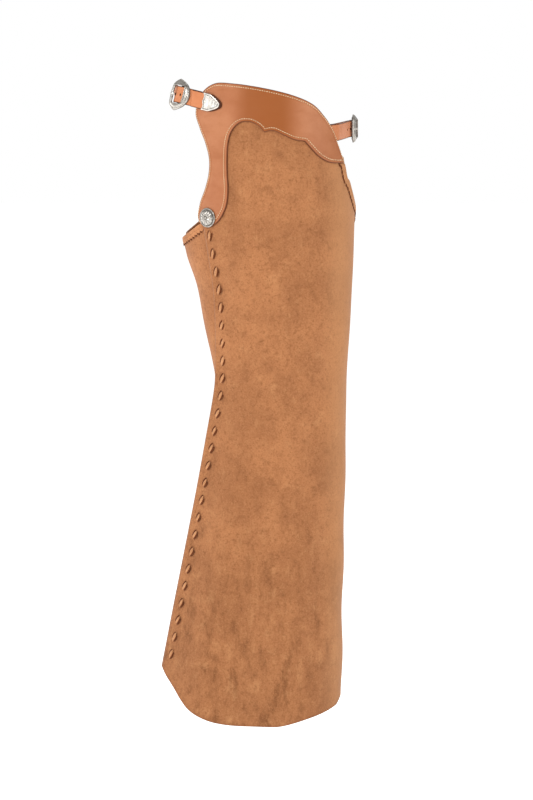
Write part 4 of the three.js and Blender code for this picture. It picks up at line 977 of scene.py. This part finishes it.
def cutAway(piece, cutters):
    for cutter in cutters:
        modifier = piece.modifiers.new("cut", "BOOLEAN")
        modifier.operation, modifier.solver, modifier.object = "DIFFERENCE", "EXACT", cutter
        modifier.material_mode = "TRANSFER"
    bpy.context.view_layer.update()
    mesh = bpy.data.meshes.new_from_object(piece.evaluated_get(bpy.context.evaluated_depsgraph_get()))
    piece.modifiers.clear()
    piece.data = mesh
    for cutter in cutters:
        bpy.data.objects.remove(cutter)
    return piece


def billetHoles(name, line, height, offsets):
    at = line["buckle"] + np.array(offsets)
    places = strapPoint(line, at, height(at) + leather["strap"], 0.0)
    outs = unit(strapPoint(line, at, height(at) + 0.01, 0.0) - strapPoint(line, at, height(at), 0.0))
    return holeCutter(name, places, outs, holeMake["radius"], leather["strap"] * holeMake["deep"])


def boxPart(low, high):
    corners = [(x, y, z) for x in (low[0], high[0])
               for y, z in ((low[1], low[2]), (high[1], low[2]), (high[1], high[2]), (low[1], high[2]))]
    return corners, tubeFaces(2, 4, False)


def slotCutter(name, line, near, far):
    half, high = holeMake["slotHalf"], holeMake["slotHigh"]
    corners, faces = boxPart((-near, -half, 0.0), (-far, half, high))
    return meshPiece(name, seatOf(line)(corners), faces, looks["hole"], smooth=False)


def stationsOf(*runs):
    # distances in runs of (from, to, how many)
    parts = [np.linspace(a, b, count + 1)[:-1] for a, b, count in runs]
    return np.concatenate([*parts, [runs[-1][1]]])


def makeRearBillet():
    at, half, edge = rearLine["buckle"], strapMake["rearWide"] / 2, rearLine["edge"]
    end = edge - strapMake["tipLong"] * strapMake["tipInside"]
    # the billet reaches past the metal tip so a dark rim shows round it: its dark cut edge and a painted
    # shadow of the tip
    start = end - strapMake["edgeAndShadowPastTip"]
    d = stationsOf((start, end + 0.006, 14), (end + 0.006, edge, 20), (edge, at - half, 10),
                   (at - half, at + half + 0.004, 40),
                   (at + half + 0.004, rearLine["total"] - edge + strapMake["anchor"], 110))
    half = pointedHalf(d, start, strapMake["tipLong"] * 0.55, 0.0015)
    billet = strapBand("rearBilletLeather", rearLine, d, half, rearHeight, end + strapMake["tipLong"] * 0.8)
    offsets = [holeMake["rear"] + k * holeMake["pitch"] for k in range(holeMake["rearCount"])]
    return cutAway(billet, [billetHoles("rearHoles", rearLine, rearHeight, offsets),
                            slotCutter("rearSlot", rearLine, 0.0064, 0.011)])


def makeFrontBillet():
    at, half = frontLine["buckle"], strapMake["frontWide"] / 2
    end = at + half + strapMake["wide"] * 1.9
    d = stationsOf((0, at - half - 0.004, 60), (at - half - 0.004, at + half, 40), (at + half, end, 26))
    half = pointedHalf(d, end, strapMake["wide"] * 0.5, 0.002)
    billet = strapBand("frontBilletLeather", frontLine, d, half, frontHeight)
    return cutAway(billet, [billetHoles("frontHoles", frontLine, frontHeight, holeMake["front"]),
                            slotCutter("frontSlot", frontLine, 0.0055, 0.0102)])


def makeChape(name, line, anchor):
    # folded strap: lower leaf, round the bar and back on top of it
    toward = math.copysign(1, anchor - line["buckle"])
    wall = leather["strap"]
    turnAt = line["buckle"] - toward * (strapMake["bar"] / 2 + leather["seat"])
    middle, bend = (chapeOut + foldOut + wall) / 2, (foldOut + wall - chapeOut) / 2
    count = max(int(abs(anchor - turnAt) / 0.0025), 8)
    turn = np.linspace(0, math.pi, 13)[1:-1]
    ends = []
    for w in (1, 0):
        radius = bend - wall * (1 - w)
        d = np.concatenate([np.linspace(anchor, turnAt, count), turnAt - toward * np.sin(turn) * radius,
                            turnAt + toward * np.linspace(0, strapMake["fold"], 7)])
        out = np.concatenate([np.full(count, chapeOut + wall * (1 - w)), middle - np.cos(turn) * radius,
                              np.full(7, foldOut + wall * w)])
        side = acrossStrap(np.full(len(d), strapMake["wide"] / 2))
        ends.append(strapPoint(line, d[:, None], out[:, None], side))
    return cutAway(band(name, *ends), [slotCutter(name + "Slot", line, 0.0013, 0.008)])


rearBillet, frontBillet = makeRearBillet(), makeFrontBillet()
rearChape = makeChape("rearBuckleStrapLeather", rearLine, rearLine["edge"] - strapMake["anchor"] * 0.5)
frontChape = makeChape("frontBuckleStrapLeather", frontLine, frontLine["total"])
for piece, node in ((rearBillet, "rear_billet"), (frontBillet, "front_billet"),
                    (rearChape, "rear_buckle_strap"), (frontChape, "front_buckle_strap")):
    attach(piece, "root")
    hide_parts(node)
print("straps made")

# buckles and the metal tip
frameRows = np.array([  # shares of half the buckle at its rim, high and wide, then of half the opening
    (0, 1, 0, 1), (0.18, 0.98, 0.3, 1), (0.34, 0.93, 0.6, 0.99), (0.5, 0.86, 0.85, 0.97),
    (0.66, 0.74, 0.97, 0.88), (0.8, 0.52, 1, 0.62), (0.93, 0.24, 1, 0.32), (1, 0, 1, 0)])
frameProfile = np.array([  # across the face from the opening, up its wall, how dark: patina in the face's two grooves, painted shade on the opening's wall, the foot of the outer wall and the underside
    (0, 0, 1), (0, 0.4, 1), (0.03, 0.74, 0.4), (0.09, 0.96, 0), (0.16, 1, 0), (0.21, 0.92, 0.4),
    (0.25, 0.74, 1), (0.3, 0.76, 0.3), (0.38, 0.8, 0), (0.46, 0.82, 0), (0.54, 0.82, 0), (0.62, 0.8, 0),
    (0.68, 0.76, 0.3), (0.72, 0.72, 1), (0.76, 0.86, 0.4), (0.82, 0.98, 0), (0.89, 0.94, 0), (0.95, 0.76, 0),
    (1, 0.42, 0.8), (1, 0, 1), (0.75, 0, 1), (0.5, 0, 1), (0.25, 0, 1)])
buckleMake = {"quarterSteps": 44, "relief": 0.0002, "leaves": 7, "ropeTurns": 30, "rope": 0.00012}


def makeBuckle(name, line, high, wide):
    halfHigh, halfWide = high / 2, wide / 2
    openHigh, openWide = strapMake["wide"] / 2 + strapMake["clear"], halfWide * strapMake["openShare"]
    steps = buckleMake["quarterSteps"]
    t = np.linspace(0, len(frameRows) - 1, steps + 1)
    count = np.arange(len(frameRows))
    rows = np.stack([lerp(tableValue(count, frameRows[:, k], t), np.interp(t, count, frameRows[:, k]), 0.6)
                     for k in range(4)], 1)
    quarter = np.concatenate([np.arange(steps), np.arange(steps, 0, -1)])
    lap = np.arange(4 * steps)
    right = np.where((lap <= steps) | (lap > 3 * steps), 1.0, -1.0)[:, None]
    above = np.where(lap <= 2 * steps, 1.0, -1.0)[:, None]
    row = rows[np.concatenate([quarter, quarter])][:, None]
    across, up, patinaAndShade = (frameProfile[:, k][None] for k in range(3))
    x = right * lerp(row[..., 3] * openWide, row[..., 1] * halfWide, across)
    x = x - strapMake["horn"] * wide * row[..., 0] ** 2 * across
    y = above * lerp(row[..., 2] * openHigh, row[..., 0] * halfHigh, across)
    lapShare = lap[:, None] / (4 * steps)
    field = np.clip((across - 0.28) / 0.06, 0, 1) * np.clip((0.7 - across) / 0.06, 0, 1) * (up > 0.5)
    leafTurn = buckleMake["leaves"] * 4 * lapShare + np.abs(across - 0.49) * 2.6
    leaf = np.abs(np.sin(math.pi * leafTurn)) ** 0.7
    ropeTurn = buckleMake["ropeTurns"] * 4 * lapShare + across * 3
    rope = np.sin(2 * math.pi * ropeTurn) * (across > 0.75) * (up > 0.5)
    z = lerp(strapMake["crest"], strapMake["rim"], across ** strapMake["dome"]) + strapMake["wall"] * up
    z = z + buckleMake["relief"] * leaf * field + buckleMake["rope"] * rope
    marks = np.clip(patinaAndShade * 0.8 + field * (0.5 - leaf) * 0.36 + np.clip(-rope, 0, 1) * 0.15, 0, 1)
    points = list(np.stack([x, y, z], -1).reshape(-1, 3))
    faces = tubeFaces(4 * steps, len(frameProfile), True)
    values = list(marks.ravel())
    # the bar the straps turn on, and a short post at each end of it
    barHigh = lerp(openHigh, halfHigh, 0.4)
    bar, postTop = strapMake["bar"] / 2, strapMake["crest"] - 0.001
    parts = [boxPart((-bar, -barHigh, barOut), (bar, barHigh, barOut + strapMake["wall"]))]
    for end in (1, -1):
        edges = sorted((end * (openHigh + 0.0002), end * barHigh))
        parts.append(boxPart((-bar, edges[0], barOut + 0.001), (bar, edges[1], postTop)))
    for corners, quads in parts:
        start = len(points)
        points += [np.array(c) for c in corners]
        faces += [tuple(start + k for k in quad) for quad in quads]
        # the bar and its posts, under the strap, are painted half dark as shade
        values += [0.5] * len(corners)
    return meshPiece(name, seatOf(line)(np.array(points)), faces, looks["silver"], {"patinaAndShade": values})


prongMake = {"sides": 12, "steps": 70, "broad": 0.0016, "point": 0.00105, "thick": 0.00055}


def makeProng(name, line, wide):
    # from the bar up through the strap and over the frame: steps from the opening's edge, heights
    half = wide / 2
    inner = half * strapMake["openShare"]
    stand = half - inner
    path = catmull([(0.0023, 0.00095), *((inner + step, high) for step, high in (
        (-0.0062, 0.0013), (-0.0038, 0.0026), (-0.0025, 0.0048), (-0.002, 0.0074), (-0.0009, 0.0095),
        (stand * 0.08, 0.01), (stand * 0.22, 0.00975), (stand * 0.46, 0.0087), (stand * 0.74, 0.0073),
        (stand * 0.94, 0.0056)))], prongMake["steps"])
    direction = unit(np.gradient(path, axis=0))
    up = np.stack([-direction[:, 1], direction[:, 0]], 1)
    share = np.linspace(0, 1, len(path))
    broad = lerp(prongMake["broad"], prongMake["point"], smoothStep(0.3, 0.9, share))
    broad = broad * np.sqrt(np.clip((1.004 - share) / 0.05, 0, 1))
    thick = prongMake["thick"] * np.sqrt(np.clip((1.004 - share) / 0.04, 0.02, 1))
    points = []
    for k in range(len(path)):
        for j in range(prongMake["sides"]):
            turn = 2 * math.pi * j / prongMake["sides"]
            a = math.copysign(abs(math.cos(turn)) ** 0.7, math.cos(turn)) * broad[k]
            b = math.copysign(abs(math.sin(turn)) ** 0.8, math.sin(turn)) * thick[k]
            x, z = path[k] + up[k] * b
            points.append((-x, a, z))
    faces = tubeFaces(len(path), prongMake["sides"], False)
    marks = {"patinaAndShade": np.zeros(len(points))}
    return meshPiece(name, seatOf(line)(points), faces, looks["brightSilver"], marks)


tipMake = {"steps": 44, "proud": 0.0004, "scallop": 0.0022, "crown": 0.0003, "bead": 0.0003, "groove": 0.0002,
           "vine": 0.0002, "vineTurns": 620, "beadAt": 0.0013, "grooveAt": 0.0026, "eased": 0.35}


def makeTip():
    end = rearLine["edge"] - strapMake["tipLong"] * strapMake["tipInside"]
    start = end + strapMake["tipLong"]
    d = np.linspace(end, start, tipMake["steps"])
    side = acrossStrap(pointedHalf(d, end, strapMake["tipLong"] * 0.6, 0.001) + tipMake["proud"])
    grid = np.repeat(d[:, None], side.shape[1], 1)
    scallop = tipMake["scallop"] * np.abs(np.sin(math.pi * side / (strapMake["wide"] / 2)))
    grid = grid - scallop * smoothStep(end + 0.014, start, grid)
    out = rearHeight(grid) + leather["strap"] + leather["seat"]
    share = side / np.maximum(side[:, -1:], 0.001)
    flat = strapPoint(rearLine, grid, out, side)
    rim = rimOf(flat)
    bead = np.exp(-((rim - tipMake["beadAt"]) / 0.0006) ** 2)
    groove = np.exp(-((rim - tipMake["grooveAt"]) / 0.0005) ** 2)
    vine = np.abs(np.sin((grid - end) * tipMake["vineTurns"])) * np.exp(-(share * 2.4) ** 2) * (rim > 0.003)
    height = (strapMake["tipWall"] + tipMake["crown"] * (1 - share ** 2) + tipMake["bead"] * bead
              - tipMake["groove"] * groove + tipMake["vine"] * vine)
    eased = tipMake["eased"] * np.clip(1 - rim / 0.0008, 0, 1) ** 2 * strapMake["tipWall"]
    top = strapPoint(rearLine, grid, out + height - eased, side)
    marks = {"patinaAndShade": np.clip(groove * 1.1, 0, 1)}
    return shellPiece("rearTipPlate", top, flat, looks["brightSilver"], marks)


rearFrame = makeBuckle("rearBuckleFrame", rearLine, strapMake["rearHigh"], strapMake["rearWide"])
frontFrame = makeBuckle("frontBuckleFrame", frontLine, strapMake["frontHigh"], strapMake["frontWide"])
rearPin = makeProng("rearProngPin", rearLine, strapMake["rearWide"])
frontPin = makeProng("frontProngPin", frontLine, strapMake["frontWide"])
tipPlate = makeTip()
for piece, node in ((rearFrame, "rear_buckle"), (frontFrame, "front_buckle"), (rearPin, "rear_prong"),
                    (frontPin, "front_prong"), (tipPlate, "rear_billet_tip")):
    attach(piece, "root")
    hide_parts(node)
print("buckles made")

# the disc at the end of each yoke's tongue
conchoMake = {"radius": 0.01475, "rise": 0.0055, "petals": 12, "relief": 0.0006, "along": 0.046, "down": 0.92,
              "proud": 0.0008, "foot": 0.95, "ropeTurns": 34, "rope": 0.00022, "rings": 42, "sides": 144}
conchoProfile = np.array([  # share of the radius, share of the rise, how hollow
    (0, 1.12, 0), (0.07, 1.1, 0), (0.12, 1.02, 0.2), (0.155, 0.92, 1), (0.19, 0.93, 0.9), (0.24, 0.98, 0),
    (0.45, 0.87, 0), (0.62, 0.7, 0), (0.74, 0.46, 0.1), (0.8, 0.25, 0.9), (0.835, 0.15, 1), (0.87, 0.24, 0.2),
    (0.92, 0.28, 0), (0.97, 0.2, 0), (1, 0.07, 0.2)])


def makeConcho():
    radius, rise = conchoMake["radius"], conchoMake["rise"]
    z = -conchoMake["down"] * bodySizes["yoke"]
    s = sectionAt(z)
    x = float(lerp(s["seamX"], s["frontX"], conchoMake["along"]))
    n = outerNormal(np.array(x), np.array(z))
    side = unit(np.cross((0.0, 0.0, 1.0), n))
    up = np.cross(n, side)
    centre = onSide(np.array(x), np.array(z), np.array(yokeFace + conchoMake["proud"]))
    share = np.linspace(0.02, 1, conchoMake["rings"])
    level = np.interp(share, conchoProfile[:, 0], conchoProfile[:, 1])[:, None]
    patinaAndShade = np.interp(share, conchoProfile[:, 0], conchoProfile[:, 2])[:, None]
    turn = np.arange(conchoMake["sides"]) / conchoMake["sides"] * 2 * math.pi
    petal = np.abs(np.cos(turn * conchoMake["petals"] / 2))[None] ** 0.6
    r = share[:, None]
    inField = np.clip((r - 0.22) / 0.08, 0, 1) * np.clip((0.78 - r) / 0.05, 0, 1)
    onRim = np.clip((r - 0.85) / 0.03, 0, 1) * (r < 0.99)
    rope = np.sin(turn[None] * conchoMake["ropeTurns"] + r * 30) * onRim
    height = rise * level + conchoMake["relief"] * (petal - 0.6) * inField + conchoMake["rope"] * rope
    marks = np.clip(patinaAndShade + (0.6 - petal) * 1.7 * inField + np.clip(-rope, 0, 1) * 0.4, 0, 1)

    def ringAt(reach):
        return side * (np.cos(turn) * reach)[..., None] + up * (np.sin(turn) * reach)[..., None] + centre

    grid = ringAt(r * radius) + n * height[..., None]
    points = np.concatenate([grid.reshape(-1, 3), ringAt(radius * conchoMake["foot"])])
    values = np.concatenate([marks.ravel(), np.ones(len(turn))])
    faces = tubeFaces(len(share) + 1, len(turn), False)
    return meshPiece("rightConchoDisc", points, faces, looks["silver"], {"patinaAndShade": values})


rightConcho = makeConcho()
leftConcho = mirrorCopy(rightConcho, "leftConchoDisc")
for piece, node in ((rightConcho, "right_concho"), (leftConcho, "left_concho")):
    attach(piece, "root")
    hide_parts(node)
print("conchos made")

# the facing along the top edge and the thong down the rear seam
trimMake = {"facing": 0.011, "first": 0.8883, "last": 1.997, "underYoke": 0.481, "crease": 0.0004,
            "dashPitch": 0.0073, "dash": (0.0084, 0.0023, 0.0011), "dashLean": (0.75, -0.65),
            "stitches": 25, "top": 0.206, "bottom": 0.891, "inset": 0.012, "narrow": 0.67,
            "thong": (0.0145, 0.0048, 0.0034), "thongLean": 0.3, "thongProud": 0.0004,
            "slit": (0.0128, 0.0036, 0.002), "slitLean": 0.42, "slitApart": 0.0024}


def facingLow(around):
    # the facing's lower edge keeps its width below the curved top edge
    z = topZ(around)
    wide = trimMake["facing"]
    rate = np.linalg.norm(panelPoint(around + 0.004, z) - panelPoint(around - 0.004, z), axis=-1) / 0.008
    low = z - wide
    for t in np.linspace(-1, 1, 33):
        low = np.minimum(low, topZ(around + t * wide / rate) - wide * math.sqrt(1 - t * t))
    return low


def onPanel(around, z, out):
    points = panelPoint(around, z)
    return points + panelNormal(around, z) * (legLift(points, around, z) + out)[..., None]


def makeFacing():
    first, last = trimMake["first"], trimMake["last"]
    around = legColumns()
    around = np.concatenate([[first], around[(around > first + 0.002) & (around < last)], [last]])
    around = np.sort(np.concatenate([around, (around[1:] + around[:-1]) / 2]))
    top = np.minimum(topZ(around), -trimMake["underYoke"] * bodySizes["yoke"])
    low = np.minimum(facingLow(around), top - leather["facing"])
    v = np.array([0, 0.04, 0.1, 0.2, 0.32, 0.42, 0.47, 0.5, 0.53, 0.58, 0.68, 0.8, 0.9, 0.96, 1])
    a = np.repeat(around[:, None], len(v), 1)
    z = lerp(low[:, None], top[:, None], v[None])
    under = leather["yokeSeat"]
    over = under + leather["facing"]
    middle = np.exp(-((v - 0.5) / 0.05) ** 2)
    crease = (trimMake["crease"] * middle - 0.0003 * np.clip(1 - v / 0.06, 0, 1)
              - 0.0005 * np.clip((v - 0.9) / 0.1, 0, 1))
    face = onPanel(a, z, over + crease[None])
    marks = np.zeros_like(z) + middle[None] * 0.5
    strip = shellPiece("rightHemFacing", face, onPanel(a, z, under), looks["facing"], {"rawEdge": marks})
    # the slits stand evenly along the lower edge
    track = evenly(onPanel(around, low, over - 0.0004), trimMake["dashPitch"])
    along = unit(np.roll(track, -1, 0) - np.roll(track, 1, 0))
    along[0], along[-1] = along[1], along[-2]
    steps = np.linalg.norm(np.diff(onPanel(around, low, 0.0), axis=0), axis=1)
    walked = np.concatenate([[0], np.cumsum(steps)])
    walked, lengths = walked / walked[-1], np.linspace(0, 1, len(track))

    def spread(vectors):
        return unit(np.stack([np.interp(lengths, walked, vectors[:, k]) for k in range(3)], 1))

    inside = onPanel(around, low + 0.004, under) - onPanel(around, low, under)
    return strip, track, along, spread(inside), spread(panelNormal(around, low))


def makeStitches():
    share = np.arange(trimMake["stitches"]) / (trimMake["stitches"] - 1)
    z = -lerp(trimMake["top"], trimMake["bottom"], share) * bodySizes["drop"]
    inset = trimMake["inset"] * lerp(trimMake["narrow"], 1, np.minimum(share * 4, 1))

    def onSeam(height):
        x = sectionAt(height)["seamX"] + inset
        p = onSide(x, height, np.full(len(height), leather["seat"] + leather["yokeSeat"]))
        p[:, 1] -= foldDepth(0, height)
        return p

    centre = onSeam(z)
    upward = unit(onSeam(z + 0.003) - onSeam(z - 0.003))
    out = outerNormal(centre[:, 0], z)
    return centre, upward, out, unit(np.cross(upward, out))


facingRight, dashPlaces, dashAlong, dashUp, dashOut = makeFacing()
facingLeft = mirrorCopy(facingRight, "leftHemFacing")
stitchPlaces, stitchUp, stitchOut, stitchAside = makeStitches()
dashLean = unit(dashAlong * trimMake["dashLean"][0] + dashUp * trimMake["dashLean"][1])
stitchLean = unit(stitchUp + stitchAside * trimMake["thongLean"])
slitLean = unit(stitchUp + stitchAside * trimMake["slitLean"])
slitApart = (stitchAside - stitchUp) * trimMake["slitApart"]


def trimFor(side, facing):
    def sided(*arrays):
        return arrays if side == "right" else mirrorPoints(*arrays)

    dashes = repeated(side + "HemSlits", *sided(dashPlaces, dashLean, dashOut), lensShape, trimMake["dash"],
                      looks["slit"], 0.12, 0.15)
    proud = stitchPlaces + stitchOut * trimMake["thongProud"]
    thong = repeated(side + "SeamThong", *sided(proud, stitchLean, stitchOut), lensShape, trimMake["thong"],
                     looks["thong"], 0.1, 0.08)
    places = np.concatenate([stitchPlaces - slitApart, stitchPlaces + slitApart])
    leans, outs = np.concatenate([slitLean, slitLean]), np.concatenate([stitchOut, stitchOut])
    slits = repeated(side + "SeamSlits", *sided(places, leans, outs), lensShape, trimMake["slit"],
                     looks["slit"], 0.1, 0.06, seed=5)
    for piece, node, slot in ((facing, side + "_hem_strip", "suede"),
                              (thong, side + "_seam_lace", "suede_thong")):
        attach(piece, "root")
        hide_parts(node)
    for piece in (dashes, slits):
        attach(piece, "root")


trimFor("right", facingRight)
trimFor("left", facingLeft)
print("trim made")

# light and ground
studio = {"floorDrop": 1.25, "floorHalf": 30, "floorTone": "f4f3f1", "floorGlow": 0.7, "world": 0.45,
          "aim": (0, 0, -0.45)}
studioLights = (  # name, place, size, power
    ("keyLight", (-1.7, -2.5, 1.4), 1.2, 44), ("fillLight", (2.4, -1.7, 0.2), 2.2, 22),
    ("sideLight", (-2.7, -0.9, 0.0), 1.6, 11), ("rimLight", (-2.2, 1.4, 0.1), 1.5, 12),
    ("backLight", (0.4, 2.6, 1.6), 2.0, 24))


def makeStudio():
    world = bpy.data.worlds.new("studio")
    bpy.context.scene.world = world
    world.use_nodes = True
    ground = world.node_tree.nodes["Background"]
    ground.inputs[0].default_value = (1, 1, 1, 1)
    # a white backdrop behind a softer surrounding light
    seen = world.node_tree.nodes.new("ShaderNodeLightPath")
    level = world.node_tree.nodes.new("ShaderNodeMapRange")
    level.inputs["To Min"].default_value = studio["world"]
    world.node_tree.links.new(seen.outputs["Is Camera Ray"], level.inputs["Value"])
    world.node_tree.links.new(level.outputs[0], ground.inputs[1])
    floorLook = Look("pale_floor", Roughness=0.9, Emission_Color=(1, 1, 1, 1),
                     Emission_Strength=studio["floorGlow"])
    mesh = bpy.data.meshes.new("floor")
    z, half = -studio["floorDrop"], studio["floorHalf"]
    corners = [(-half, -half, z), (half, -half, z), (half, half, z), (-half, half, z)]
    mesh.from_pydata(corners, [], [(0, 1, 2, 3)])
    mesh.materials.append(floorLook.done(tone(studio["floorTone"])))
    floor = bpy.data.objects.new("floor", mesh)
    bpy.context.scene.collection.objects.link(floor)
    for name, place, size, power in studioLights:
        data = bpy.data.lights.new(name, "AREA")
        data.size, data.energy = size, power
        lamp = bpy.data.objects.new(name, data)
        bpy.context.scene.collection.objects.link(lamp)
        lamp.location = place
        lamp.rotation_euler = (Vector(studio["aim"]) - Vector(place)).to_track_quat("-Z", "Y").to_euler()


makeStudio()

for shape in (stitchShape, lensShape):
    bpy.data.objects.remove(shape)
